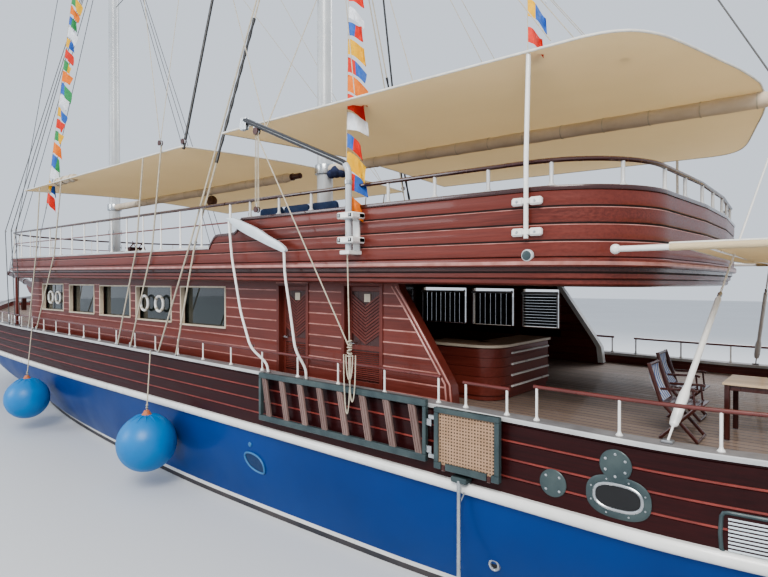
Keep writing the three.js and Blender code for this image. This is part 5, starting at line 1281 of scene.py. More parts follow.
# awning posts outside the bulwark, each held by two rounded clamps
clampLevels = (5.22, 5.6)
for side, node in ((1, "awning_post_port"), (-1, "awning_post_starboard")):
    post = Shape()
    x, y = -12.3, 3.97
    top = boomLevel("mizzen", x) + spars["boomRadius"] - awning["drop"] * (y / 4) ** 1.4
    post.tube([(x, side * y, 5.0), (x, side * y, 6.0), (x, side * y * 0.985, top - 0.003)], 0.03, "white", 16)
    for z in clampLevels:
        level = z + slope * x
        for a, b in ((x - 0.2, x - 0.035), (x + 0.035, x + 0.2)):
            post.box((a, side * hullSide, level - 0.05), (b, side * 3.985, level + 0.05), "white", 0.022)
            post.turned(((a + b) / 2, side * 3.983, level), (0, side, 0),
                [(0, 0.018), (0.008, 0.018), (0.012, 0.008), (0.012, 0)], "steel", 10)
        post.box((x - 0.045, side * hullSide, level - 0.035),
            (x + 0.045, side * 3.999, level + 0.035), "white", 0.01)
    post.make("awningPost" + ("Port" if side > 0 else "Starboard"), "white", node)

stern = {"fore": -13.3, "aft": -16.7, "half": 3.75, "level": 4.84, "tube": 0.035}
frameShape = Shape()
corners = [(stern["fore"], 1), (stern["aft"], 1), (stern["aft"], -1), (stern["fore"], -1)]
rim = []
cornerAt = [np.array([x, side * stern["half"], stern["level"]]) for x, side in corners]
for i, p in enumerate(cornerAt):
    if i in (0, 3):
        rim.append(p)
        continue
    u, v = ((q - p) / norm(q - p) for q in (cornerAt[i - 1], cornerAt[i + 1]))
    for t in np.linspace(0, pi / 2, 7):  # a rounded knee of radius 0.12
        rim.append(p + 0.12 * (u * (1 - sin(t)) + v * (1 - cos(t))))
frameShape.tube(rim, stern["tube"], "white", 16)
for side in (1, -1):
    knob = np.linspace(-1, 1, 11)
    frameShape.turned((stern["fore"] - 0.06, side * stern["half"], stern["level"]), (1, 0, 0),
        [(0.06 + 0.06 * k, 0.06 * sqrt(max(1 - k * k, 0))) for k in knob], "white", 20)
    seat = onCap(-16.2)
    frameShape.tube([(-16.2, side * 3.32, seat),
        (-16.2, side * (stern["half"] - 0.02), stern["level"] - 0.02)], 0.03, "white", 14)
    frameShape.box((-16.26, side * 3.27, seat), (-16.14, side * 3.37, seat + 0.03), "steel", 0.006)
for x in (-14.2, -15.05, -15.9):  # cross ribs under the cloth
    frameShape.tube([(x, y, stern["level"] - 0.004 - 0.028 * (1 - (y / stern["half"]) ** 2))
        for y in np.linspace(-3.75, 3.75, 25)], 0.016, "white", 10)
frameShape.make("sternFrame", "white", "stern_awning_frame")

shares = np.linspace(-1, 1, 61)
lowRows, highRows = [], []
for t in np.linspace(0, 1, 25):
    front = stern["fore"] - 0.57 - 0.12 * (1 - np.abs(shares) ** 3)
    x = stern["aft"] + (front - stern["aft"]) * t
    sag = 0.09 * (1 - shares ** 2) * t ** 0.8
    z = stern["level"] + 0.0362 - sag
    lowRows.append(columns(x, shares * stern["half"], z))
    highRows.append(columns(x, shares * stern["half"], z + 0.012))
sternCloth = Shape()
sternCloth.grid(lowRows, "canvas")
sternCloth.grid(highRows, "canvas")
lowRows = np.array(lowRows)
rimLine = np.vstack([lowRows[0], lowRows[1:-1, -1], lowRows[-1][::-1], lowRows[1:-1, 0][::-1]])
sternCloth.grid([rimLine, rimLine + [0, 0, 0.012]], "canvas", closed=True)
clothMade = sternCloth.make("awningStern", "cloth", "awning_stern")
sternHem = Shape()
sternHem.tube(rimLine + [0, 0, 0.006], 0.011, "hem", 8, closed=True, flat=1.3)
for side in (1, -1):  # the cloth's sleeves over the side tubes, with a stitched edge
    sleeve = np.linspace(stern["fore"] - 0.57, stern["aft"] + 0.16, 40)
    sternHem.tube([(x, side * stern["half"], stern["level"]) for x in sleeve],
        0.04 + 0.0016 * np.sin(np.arange(40) * 1.9), "canvas", 18)
    sternHem.tube([(x, side * (stern["half"] - 0.03), stern["level"] - 0.03) for x in sleeve[::3]],
        0.006, "canvasSeam", 6)
sternHem.make("awningSternHem", "cloth")
print("stern awning")

# wires and ropes: each mast's bands, shrouds with bottle screws, stays, and the sheaves' falls
wires = {"radius": 0.013, "mizzen": 0.019, "thin": 0.008}
chains = {"main": (5.95, 6.4, 7.0), "mizzen": (-3.98, -3.21)}
knees = {-3.98: (-4.87, 3.97, 5.3), -3.21: (-4.67, 3.97, 5.28)}


def bottleScrew(shape, foot, head):
    length, radius = 0.42, 0.024
    foot, head = np.asarray(foot, float), np.asarray(head, float)
    d = (head - foot) / norm(head - foot)
    shape.turned(foot, d, [(0, 0.001), (0, 0.012), (0.08, 0.012), (0.09, radius), (length - 0.1, radius),
        (length - 0.08, 0.012), (length, 0.012), (length, 0.001)], "steel", 14)


def blockAt(shape, place, radius=0.07):
    place, axis = np.asarray(place, float), np.array([0, 1.0, 0])
    for shift, wide in ((-0.035, 0.012), (0.023, 0.012)):
        shape.turned(place + axis * shift, axis, band(0.001, radius, wide), "darkWood", 20)
    shape.turned(place - axis * 0.02, axis,
        [(0, 0.001), (0, radius * 0.85), (0.02, radius * 0.7), (0.04, radius * 0.85), (0.04, 0.001)], "steel",
        20)
    shape.tube([place + [0, 0, radius * 0.6], place + [0, 0, radius + 0.06]], 0.01, "steel", 8)


for key, mast in masts.items():
    hounds, head = mast["hounds"] - 0.3, mast["top"] - 0.6
    rig = Shape()
    r = float(mastRadiusAt(mast, hounds))
    rig.turned((mast["x"], 0, hounds - 0.1), (0, 0, 1),
        [(0, r + 0.003), (0, r + 0.06), (0.02, r + 0.07), (0.18, r + 0.07), (0.2, r + 0.06),
        (0.2, r + 0.003)], "steel", 28)
    share = (head - mast["hounds"]) / (mast["top"] - mast["hounds"])
    r = spars["mastRadius"] * (spars["hounds"] - (spars["hounds"] - spars["head"]) * share)
    rig.turned((mast["x"], 0, head - 0.05), (0, 0, 1), band(r + 0.003, r + 0.05, 0.1), "steel", 28)
    for i, x in enumerate(chains[key]):
        for side in (1, -1):
            eye = (mast["x"] + 0.06 * (i - 1), side * 0.225, hounds - 0.03 * i)
            kneeAt = (x, side * 4.02, 6.1 + slope * x + 0.05)
            if x in knees:
                kneeAt = (knees[x][0], side * knees[x][1], knees[x][2])
            foot = (x, side * 3.915, onCap(x))
            rig.tube([foot, kneeAt, eye], wires["radius"] if key == "main" else wires["mizzen"],
                "wire" if key == "main" else "rope", 8)
            if key == "main":
                bottleScrew(rig, np.array(foot) + [0, 0, 0.02], kneeAt)
            rig.box((x - 0.03, side * 3.89, foot[2]), (x + 0.03, side * 3.94, foot[2] + 0.03), "steel", 0.005)
            rig.turned(np.array(kneeAt) + [0, -side * 0.01, 0], (0, 1, 0),
                [(-0.02, 0.0), (-0.02, 0.03), (0.02, 0.03), (0.02, 0.0)], "steel", 12)
    stays = {
        "main": ((0.24, hounds, 20.45, 5.11), (0.24, hounds - 0.06, 17.3, 4.62), (0.15, head, 20.56, 5.13)),
        "mizzen": ((-0.15, head, -14.55, boomLevel("mizzen", -14.55) + 0.142), (0.24, hounds, 7.405, 15.6)),
    }
    for ahead, z0, x1, z1 in stays[key]:
        rig.tube([(mast["x"] + ahead, 0, z0), (x1, 0, z1)], wires["radius"], "wire", 8)
    rig.tube([(mast["x"] - 0.112, 0.112, head), (mast["x"] - 0.162, 0.162, hounds)], wires["thin"], "rope", 6)
    rig.make("rigging" + key.capitalize(), "rope", "rigging_" + key)

guys = Shape()
for side in (1, -1):
    foot = np.array([-13.86, side * 3.76, capAt(-13.86) + 0.017])
    end = np.array([-14.7, side * 0.145, boomLevel("mizzen", -14.7)])
    d = end - foot
    length = norm(d)
    guys.tube([foot, end], 0.013, "white", 10)
    guys.box(foot - [0.06, 0.05, 0.015], foot + [0.06, 0.05, 0.015], "steel", 0.008)
    guys.turned(foot, d, [(0.03 * length, 0.012), (0.035 * length, 0.045), (0.05 * length, 0.055),
        (0.1 * length, 0.055), (0.12 * length, 0.036), (0.335 * length, 0.034), (0.345 * length, 0.014)],
        "white", 18)
    guys.turned(foot + d * 0.34, d, [(0, 0.02), (0.02, 0.026), (0.06, 0.026), (0.08, 0.014)], "steel", 14)
guys.turned((-14.66, 0, boomLevel("mizzen", -14.66)), (-1, 0, -booms["mizzen"]["slope"]),
    band(0.1306, 0.16, 0.08), "steel", 28)
guys.make("boomGuys", "white", "boom_guys")
print("rigging")

# davit on its clamps, with its block, falls and the rope to the boarding gear
davit = {"x": -9.41, "y": 4.1, "elbow": 6.28, "tip": (-6.78, 7.46), "radius": 0.052}
clamp = Shape()
postX, postY, dz = davit["x"], davit["y"], slope * davit["x"]
for z in clampLevels:
    low, high = z + dz - 0.05, z + dz + 0.05
    for a, b in ((-0.17, -0.062), (0.062, 0.17)):
        clamp.box((postX + a, hullSide, low), (postX + b, postY + 0.1, high), "white", 0.022)
    for y0, y1 in ((postY + 0.058, postY + 0.1), (hullSide, postY - 0.058)):
        clamp.box((postX - 0.17, y0, low), (postX + 0.17, y1, high), "white", 0.018)
    for a in (-0.115, 0.115):
        clamp.turned((postX + a, postY + 0.098, z + dz), (0, 1, 0),
            [(0, 0.018), (0.009, 0.018), (0.012, 0.0)], "steel", 10)
for wide, out, z in ((0.07, 3.94, 5.6), (0.1, postY + 0.1, 5.06)):
    clamp.box((postX - wide, hullSide, 5.0 + dz), (postX + wide, out, z + dz), "white", 0.008)
clamp.make("davitClamps", "white", "davit_bracket")

arm = Shape()
elbow = np.array([postX, postY, davit["elbow"]])
tip = np.array([davit["tip"][0], postY, davit["tip"][1]])
foot = np.array([postX, postY, 5.0603 + dz])
bendPath = [foot, elbow - [0, 0, 0.16]]
for t in np.linspace(0.15, 0.85, 5):
    a, b = elbow - [0, 0, 0.16], elbow + (tip - elbow) / norm(tip - elbow) * 0.16
    bendPath.append((1 - t) ** 2 * a + 2 * t * (1 - t) * elbow + t * t * b)
bendPath += [elbow + (tip - elbow) * 0.1, tip]
arm.tube(bendPath[:6], davit["radius"] - 0.001, "mast", 24)
arm.tube(bendPath[5:], davit["radius"] - 0.0015, "davitDark", 24)
arm.turned(elbow - [0, 0, 0.3], (0, 0, 1), band(0.05, 0.062, 0.06), "steel", 24)
cheekLow, cheekHigh = tip[2] - 0.18, tip[2] + 0.05
for y in (-0.04, 0.028):
    arm.box((tip[0] - 0.06, tip[1] + y, cheekLow),
        (tip[0] + 0.1, tip[1] + y + 0.012, cheekHigh), "steel", 0.01)
arm.turned((tip[0] + 0.06, tip[1] - 0.026, tip[2] - 0.1), (0, 1, 0),
    [(0, 0.001), (0, 0.088), (0.01, 0.088), (0.026, 0.072), (0.042, 0.088), (0.052, 0.088),
    (0.052, 0.001)], "steel", 28)
arm.make("davitArm", "steel", "davit", "davit_arm")

falls = Shape()
hang = np.array([-7.12, tip[1], 7.2])
falls.turned((-7.12, tip[1] - 0.03, 7.29), (0, 1, 0), band(0.03, 0.062, 0.06), "steel", 20)
blockAt(falls, hang)
for shift in (-0.05, -0.01, 0.035):
    falls.tube([hang + [shift, 0, -0.03], hang + [shift * 1.2, 0.0, -1.38]], wires["thin"], "rope", 6)
blockAt(falls, hang - [0, 0, 1.42], radius=0.055)
falls.make("davitFalls", "rope", body="davit_arm")

# boarding hoop with its curved panel
hoop = Shape()


def rounded(points, reach=0.1, steps=5):
    points = [np.asarray(p, float) for p in points]
    path = [points[0]]
    for before, p, after in zip(points[:-2], points[1:-1], points[2:]):
        a, b = (p + (q - p) / norm(q - p) * min(reach, 0.45 * norm(q - p)) for q in (before, after))
        for t in np.linspace(0, 1, steps):
            path.append((1 - t) ** 2 * a + 2 * t * (1 - t) * p + t * t * b)
    return path + [points[-1]]


for points in ([(-7.17, 3.885, onCap(-7.17)), (-7.12, 3.885, 2.98), (-6.9, 4.08, 3.25), (-6.6, 4.08, 3.9),
        (-6.32, 4.08, 4.95), (-6.23, 4.08, 5.63)],
        [(-8.2, 3.885, onCap(-8.2)), (-8.19, 3.885, 2.98), (-8.14, 4.08, 3.3), (-8.0, 4.08, 4.02),
        (-7.87, 4.08, 4.6), (-7.85, 4.08, 5.03)]):
    hoop.tube(rounded(points, 0.16, 7), 0.024, "white", 14)
    x, y, z = points[0]
    hoop.turned((x, y, z), (0, 0, 1),
        [(0, 0.001), (0, 0.045), (0.012, 0.045), (0.018, 0.03), (0.018, 0.001)], "steel", 18)
    hoop.turned((points[2][0], 4.0, points[2][2] + 0.04), (0, 1, 0),
        [(0, 0.0), (0, 0.014), (0.05, 0.014), (0.05, 0)], "steel", 10)
px = np.linspace(-7.91, -6.19, 41)
upperCurve = through([(-7.91, 5.03), (-7.886, 5.07), (-7.39, 5.309), (-7.19, 5.409), (-6.77, 5.565),
    (-6.33, 5.689), (-6.19, 5.695)], px)
lowerCurve = through([(-7.91, 5.0), (-7.85, 4.985), (-7.72, 5.022), (-7.19, 5.207),
    (-6.55, 5.461), (-6.19, 5.68)], px)
upperCurve = np.maximum(upperCurve, lowerCurve + 0.004)


def panelLines(y, inset):
    thin = np.minimum(inset, (upperCurve - lowerCurve) * 0.4)
    return columns(px, y, lowerCurve + thin), columns(px, y, upperCurve - thin)


panelEdges = [panelLines(y, inset) for y, inset in ((4.047, 0.012), (4.052, 0.0),
    (4.109, 0.0), (4.114, 0.012))]
hoop.grid([np.vstack([low, high[::-1]]) for low, high in panelEdges], "panelWhite", closed=True)
for lines in (panelEdges[0], panelEdges[-1]):
    hoop.grid(lines, "panelWhite")
hoop.make("boardingHoop", "white", "boarding_hoop")
print("davit and hoop")

# boarding platform with a cane panel, its strut, and the ladder
frameParts = {"aft": -11.98, "fore": -10.98, "low": 1.9, "high": 2.74, "inner": 3.98,
    "outer": 4.06, "wide": 0.07}
platform = Shape()
f = frameParts
lugs = ((f["aft"] + 0.114, f["aft"] + 0.1803), (f["fore"] - 0.186, f["fore"] - 0.114))
spans = [(f["aft"], lugs[0][0]), (lugs[0][1], lugs[1][0]), (lugs[1][1], f["fore"])]
for a, b in spans:
    platform.box((a, f["inner"], f["low"]), (b, f["outer"], f["low"] + 0.09), "frameGreen", 0.006)
platform.box((f["aft"], f["inner"], f["high"] - f["wide"]), (f["fore"], f["outer"], f["high"]),
    "frameGreen", 0.008)
for a, b in ((f["aft"], f["aft"] + f["wide"]), (f["fore"] - f["wide"], f["fore"])):
    platform.box((a, f["inner"], f["low"] + 0.09), (b, f["outer"], f["high"] - f["wide"]),
        "frameGreen", 0.008)
x0, x1, z0, z1 = f["aft"] + 0.07, f["fore"] - 0.07, f["low"] + 0.07, f["high"] - 0.07
platform.box((x0 - 0.01, 4.005, z0 - 0.01), (x1 + 0.01, 4.022, z1 + 0.01), "caneHole", 0.001)
strips, lines = 19, 16
for i in range(strips + 1):  # woven strips across and along
    x = x0 + (x1 - x0) * i / strips
    wave = 4.0275 + 0.003 * np.cos(np.arange(lines * 2 + 1) * np.pi + i * np.pi)
    platform.grid([columns(x + s, wave, np.linspace(z0, z1, lines * 2 + 1)) for s in (-0.0125, 0.0125)],
        "cane")
for k in range(lines + 1):
    z = z0 + (z1 - z0) * k / lines
    wave = 4.0275 - 0.003 * np.cos(np.arange(strips * 2 + 1) * np.pi + k * np.pi)
    platform.grid([columns(np.linspace(x0, x1, strips * 2 + 1), wave, z + s) for s in (-0.0125, 0.0125)],
        "cane")
platform.tube([(lugs[0][1], 4.02, 1.92), (lugs[1][0], 4.02, 1.92)], 0.016, "steel", 14)
for z in (f["low"] + 0.12, f["high"] - 0.18):
    platform.box((f["fore"] - 0.01, f["inner"] + 0.01, z),
        (-10.88, f["outer"] - 0.01, z + 0.06), "steel", 0.008)
platform.make("boardingPlatform", "steel", "boarding_platform", "platform")

strut = Shape()
strut.tube([(-11.38, 4.04, -0.8), (-11.38, 4.04, 1.81)], 0.028, "steel", 18)
strut.box((-11.5, hullSide, 1.775), (-11.26, 4.06, 1.85), "frameGreen", 0.01)
for side in (-1, 1):
    strut.tube([(-11.38 + side * 0.1, 3.93, 1.78), (-11.38, 4.02, 1.5)], 0.012, "steel", 10)
strut.make("strut", "steel", "platform_strut")

rungs = {"aft": -10.84, "fore": -7.1, "low": 1.95, "high": 2.82, "count": 8, "lean": 0.068}
ladder = Shape()
g = rungs
for z in (g["low"], g["high"] - 0.1):
    ladder.box((g["aft"], f["inner"], z), (g["fore"], f["outer"], z + 0.1), "frameGreen", 0.01)
for x in (g["aft"], g["fore"] - 0.06):
    ladder.box((x, f["inner"], g["low"] + 0.1), (x + 0.06, f["outer"], g["high"] - 0.1), "frameGreen", 0.01)
for i in range(g["count"]):
    x = g["aft"] + 0.2 + (g["fore"] - g["aft"] - 0.4) * i / (g["count"] - 1)
    y0, y1 = f["inner"] + 0.015, f["outer"] - 0.015
    plan = np.array([(-0.06, y0 + 0.008), (-0.052, y0), (0.052, y0), (0.06, y0 + 0.008), (0.06, y1 - 0.008),
        (0.052, y1), (-0.052, y1), (-0.06, y1 - 0.008)])
    rows = [columns(x + g["lean"] * s + plan[:, 0], plan[:, 1], 2.385 + 0.335 * s) for s in (-1, 1)]
    ladder.grid(rows, "tread", closed=True)
    for row in rows:
        ladder.cap(row, "tread")
    for shift in (-0.024, 0.024):
        ladder.tube([(x + shift + g["lean"] * s, y1 - 0.001, 2.385 + 0.32 * s) for s in (-1, 1)], 0.004,
            "darkUp", 6)
for i, z in enumerate((f["low"] + 0.18, f["high"] - 0.18)):
    low = z + 0.0003 if i == 0 else z - 0.1003
    ladder.tube([(-10.91, 4.02, low), (-10.91, 4.02, low + 0.1)], 0.016, "steel", 14)
    ladder.box((-10.91, 4.005, low), (g["aft"] + 0.01, 4.035, low + 0.1), "steel", 0.006)
ladder.make("boardingLadder", "steel", "boarding_ladder", "ladder")

for x, y, z, r, name, node in ((-3.82, 4.5, 1.03, 0.61, "fenderAft", "fender_aft"),
        (3.53, 4.47, 1.0, 0.6, "fenderFore", "fender_forward")):
    ball = Shape()
    profile = [(r * (1 - cos(t)), r * sin(t)) for t in np.linspace(0.001, pi - 0.16, 33)]
    ball.turned((x, y, z - r), (0, 0, 1), profile, "fender", 48)
    for k in range(12):  # raised seams from the neck
        a = 2 * pi * k / 12
        seam = [(x + 1.004 * r * sin(t) * cos(a), y + 1.004 * r * sin(t) * sin(a), z + 1.004 * r * cos(t))
            for t in np.linspace(0.17, 0.62, 8)]
        ball.tube(seam, [0.006, 0.009, 0.01, 0.01, 0.009, 0.007, 0.004, 0.002], "fender", 6)
    top = z + r - 0.02
    ball.turned((x, y, top - 0.02), (0, 0, 1),
        [(0, 0.12), (0.03, 0.11), (0.06, 0.08), (0.1, 0.062), (0.12, 0.05), (0.12, 0.001)], "collar", 28)
    ahead = 0.9 if x < 0 else 1.2
    capTop = onCap(x + ahead)
    eye = np.array([x + ahead, 3.95, capTop + 0.01])
    ball.tube([(x, y, top + 0.05), eye], 0.014, "rope", 10)
    d = (eye - [x, y, top + 0.1]) / norm(eye - [x, y, top + 0.1])
    for share in (0.02, 0.05):
        ball.turned(np.array([x, y, top + 0.1]) + d * share * 2, d,
            [(0, 0.014), (0.01, 0.026), (0.03, 0.026), (0.04, 0.014)], "rope", 12)
    ball.box((x + ahead - 0.04, 3.84, capTop), (x + ahead + 0.04, 3.96, capTop + 0.03), "steel", 0.008)
    ball.make(name, "fender", node)
print("platform, ladder and fenders")

# bar counter: dark glossy planks with a round corner, a pale edge, and silver lines aft
bar = Shape()


def counterRing(grow, z):
    ring = [(-11.0 - grow, 0.3 - grow * 0.6)]
    ring.append((-11.0 - grow, 1.85))
    for t in np.linspace(0, pi / 2, 9):
        ring.append((-10.6 - (0.4 + grow) * cos(t), 1.95 + (0.4 + grow) * sin(t)))
    ring += [(-9.65, 2.35 + grow), (-9.65, 1.75), (-10.4, 1.75), (-10.4, 0.3 - grow * 0.6)]
    return [(x, y, z) for x, y in ring]


foot = deckAt(-10.4) + 0.005
top = 3.43
levels = [foot, foot + 0.08, foot + 0.085]
grows = [-0.03, -0.03, 0.0]
for k in range(5):
    z = foot + 0.085 + (top - 0.055 - foot - 0.085) * (k + 1) / 5
    levels += [z - 0.012, z - 0.008, z - 0.003, z]
    grows += [0.0, -0.01, -0.01, 0.0]
bar.grid([counterRing(a, b) for a, b in zip(grows, levels)], "mahogany", closed=True)
edgeRows = [(0.0, top - 0.05), (0.034, top - 0.05), (0.04, top - 0.044), (0.04, top - 0.008),
    (0.034, top - 0.001)]
bar.grid([counterRing(a, b) for a, b in edgeRows], "cream", closed=True)
for x0, x1, y0, y1 in ((-10.99, -10.4, 0.28, 1.95), (-10.6, -9.65, 1.75, 2.384)):
    bar.grid([[(x0, y0, top), (x1, y0, top)], [(x0, y1, top), (x1, y1, top)]], "barTop", evenTone)
fan = [(-10.6, 1.95, top)] + [(-10.6 - 0.434 * cos(t), 1.95 + 0.434 * sin(t), top)
    for t in np.linspace(0, pi / 2, 9)]
bar.cap(fan, "barTop")
bar.grid([[(-11.034, 0.28, top - 0.0005), (-10.99, 0.28, top - 0.0005)],
    [(-11.034, 1.95, top - 0.0005), (-10.99, 1.95, top - 0.0005)]], "barTop")
for z in np.linspace(foot + 0.2, top - 0.16, 4):
    bar.tube([(-11.02, 0.34, z), (-11.02, 1.8, z)], 0.024, "white", 10, flat=0.8)
bar.make("barCounter", "mahogany", "bar_counter")

# aft deck: a table and folding chairs with striped cloth
tx, ty = -14.7, 1.9
foot = deckUnderAt(tx, 0.55) + 0.004
table = Shape()
for k in range(8):
    y = ty - 0.4 + 0.1 * k
    table.box((tx - 0.55, y + 0.002, foot + 0.69), (tx + 0.55, y + 0.098, foot + 0.72), "tableTop", 0.004)
table.box((tx - 0.5, ty - 0.35, foot + 0.62), (tx + 0.5, ty + 0.35, foot + 0.69), "darkUp", 0.006)
for dx in (-0.5, 0.5):
    for dy in (-0.35, 0.35):
        table.box((tx + dx - 0.03, ty + dy - 0.03, foot),
            (tx + dx + 0.03, ty + dy + 0.03, foot + 0.69), "darkUp", 0.006)
table.make("deckTable", "teak", "deck_table")
chairs = ((-13.55, 1.2, -1), (-13.75, 2.45, -1), (-15.9, 1.6, 1))
for i, (cx, cy, facing) in enumerate(chairs):
    foot = deckUnderAt(cx, 0.24) + 0.002
    chair = Shape()
    at = lambda dx, dy, z: np.array([cx + facing * dx, cy + dy, foot + z])
    for dy in (-0.24, 0.24):
        chair.tube([at(-0.22, dy, 0.02), at(0.2, dy, 0.46)], 0.016, "darkUp", 8, flat=1.5)
        chair.tube([at(0.2, dy * 0.93, 0.02), at(-0.2, dy * 0.93, 0.46)], 0.016, "darkUp", 8, flat=1.5)
        chair.tube([at(-0.2, dy, 0.44), at(-0.36, dy, 0.95)], 0.017, "darkUp", 8, flat=1.5)
        chair.tube([at(-0.22, dy, 0.64), at(0.16, dy, 0.66), at(0.2, dy, 0.645)], 0.016, "darkUp", 8)
        chair.tube([at(0.17, dy, 0.46), at(0.15, dy, 0.655)], 0.012, "darkUp", 8)
    for dx in (-0.22, 0.2):
        chair.tube([at(dx, -0.25, 0.025), at(dx, 0.25, 0.025)], 0.014, "darkUp", 8)
    for k in range(7):
        dx = -0.2 + 0.066 * k
        a, b = at(dx, -0.23, 0.452), at(dx + 0.055, 0.23, 0.47)
        chair.box(np.minimum(a, b), np.maximum(a, b), "darkUp", 0.004)
    chair.tube([at(-0.355, -0.25, 0.93), at(-0.355, 0.25, 0.93)], 0.019, "darkUp", 10)
    bands = np.linspace(-0.235, 0.235, 12)
    for k in range(11):  # a hanging cloth back in stripes
        rows = []
        for t in np.linspace(0, 1, 7):
            z = 0.93 - 0.45 * t
            dx = -0.355 + 0.155 * t - 0.05 * sin(pi * t)
            rows.append([at(dx, bands[k], z), at(dx, bands[k + 1], z)])
        chair.grid(rows, "stripeBlue" if k % 2 else "stripeWhite")
        chair.grid([[p - [facing * 0.006, 0, 0] for p in row] for row in rows],
            "stripeBlue" if k % 2 else "stripeWhite")
    chair.make("deckChair%d" % (i + 1), "dark_wood", "deck_chair_%d" % (i + 1))
print("bar and deck furniture")

# steps to the upper deck, windlass, helm
steps = Shape()
base = deckAt(10.3) + 0.006
topZ = upper["floor"] + slope * 8.9 - 0.1
for y in (0.75, 1.45):
    ring = [(10.3, base), (10.05, base), (8.95, topZ), (9.1, topZ)]
    plate(steps, ring, y - 0.02, y + 0.02, "mahogany")
    steps.tube(rounded([(10.2, y, base + 0.2), (10.15, y, base + 1.0), (9.1, y, topZ + 0.75),
        (8.98, y, topZ + 0.1)], 0.12), 0.017, "railRed", 12)
for i in range(7):
    share = (i + 1) / 8
    x, z = 10.18 - 1.13 * share, base + (topZ - base) * share
    steps.box((x - 0.1, 0.77, z - 0.015), (x + 0.1, 1.43, z + 0.015), "teak", 0.005)
steps.make("bowStair", "mahogany", "bow_stair")

winch = Shape()
wx = 12.3
foot = deckUnderAt(wx, 0.35) + 0.003
winch.box((wx - 0.35, -0.45, foot), (wx + 0.35, 0.45, foot + 0.16), "frameGreen", 0.02)
profile = [(0, 0.001), (0, 0.12), (0.02, 0.14), (0.06, 0.12), (0.12, 0.095), (0.18, 0.12), (0.22, 0.1)]
mirrored = [(1.2 - h, r) for h, r in profile[::-1]]
winch.turned((wx, -0.6, foot + 0.36), (0, 1, 0),
    profile + [(0.4, 0.09), (0.42, 0.13), (0.5, 0.1), (0.7, 0.1), (0.78, 0.13), (0.8, 0.09)] + mirrored,
    "steel", 32)
for y in (-0.32, 0.32):
    ring = [(wx - 0.2, foot + 0.15), (wx + 0.2, foot + 0.15), (wx + 0.16, foot + 0.42),
        (wx + 0.1, foot + 0.5), (wx - 0.1, foot + 0.5), (wx - 0.16, foot + 0.42)]
    plate(winch, ring, y - 0.045, y + 0.045, "frameGreen")
winch.make("windlassSkin", "steel", "windlass")

helm = {"x": 5.9, "depth": 0.25, "axle": 0.72}
helmFoot = upper["floor"] + slope * (helm["x"] + helm["depth"]) + 0.003
stand = Shape()
stand.box((helm["x"] - 0.12, -0.28, helmFoot), (helm["x"] + 0.25, 0.28, helmFoot + 0.07), "darkUp", 0.008)
stand.box((helm["x"] - 0.1, -0.26, helmFoot + 0.07),
    (helm["x"] + 0.23, 0.26, helmFoot + 0.8), "mahoganyUp", 0.02)
stand.box((helm["x"] - 0.12, -0.28, helmFoot + 0.8),
    (helm["x"] + 0.25, 0.28, helmFoot + 0.85), "darkUp", 0.012)
for y in (-0.15, 0.0, 0.15):
    stand.turned((helm["x"] + 0.04, y, helmFoot + 0.849), (0, 0, 1),
        [(0, 0.06), (0.008, 0.06), (0.01, 0.052), (0.008, 0.05), (0.008, 0)], "steel", 24)
    stand.turned((helm["x"] + 0.04, y, helmFoot + 0.8565), (0, 0, 1), [(0, 0.05), (0.0005, 0.0)], "black", 24)
stand.turned((helm["x"] - 0.16, 0, helmFoot + helm["axle"]), (1, 0, 0),
    [(0, 0.001), (0, 0.045), (0.05, 0.05), (0.07, 0.05)], "steel", 24)
stand.make("helmStand", "mahogany", "helm_pedestal")
spoke = Shape()
wz, wxh = helmFoot - 0.003 + helm["axle"], helm["x"] - 0.1903
turn = turns(64)
spoke.tube(columns(wxh, 0.3 * np.cos(turn), wz + 0.3 * np.sin(turn)), 0.02, "mahoganyUp", 12, closed=True)
spoke.turned((wxh - 0.03, 0, wz), (1, 0, 0),
    [(0, 0.001), (0, 0.04), (0.01, 0.058), (0.05, 0.058), (0.06, 0.04), (0.06, 0.001)], "steel", 24)
for k in range(6):
    a = pi / 3 * k
    spoke.turned((wxh, 0.05 * cos(a), wz + 0.05 * sin(a)), (0, cos(a), sin(a)),
        [(0, 0.016), (0.06, 0.011), (0.12, 0.017), (0.18, 0.011), (0.23, 0.018), (0.27, 0.018), (0.28, 0.01),
        (0.31, 0.015), (0.35, 0.013), (0.37, 0.001)], "mahoganyUp", 14)
spoke.make("helmWheel", "mahogany", "helm_wheel", "wheel")
print("bow fittings and helm")

# bench round the inside of the high bulwark, with seat and back cushions
bench = Shape()
benchProfile = [(-0.085, 4.915), (-0.5, 4.915), (-0.5, 5.02), (-0.494, 5.03), (-0.5, 5.04), (-0.5, 5.14),
    (-0.494, 5.15), (-0.5, 5.16), (-0.5, 5.268), (-0.552, 5.272), (-0.56, 5.28), (-0.56, 5.32),
    (-0.55, 5.33), (-0.085, 5.33)]
moulding(bench, benchProfile, baseLine[:, 0] < -6.0, "mahogany")
bench.make("upperBenchSkin", "mahogany", "upper_bench")


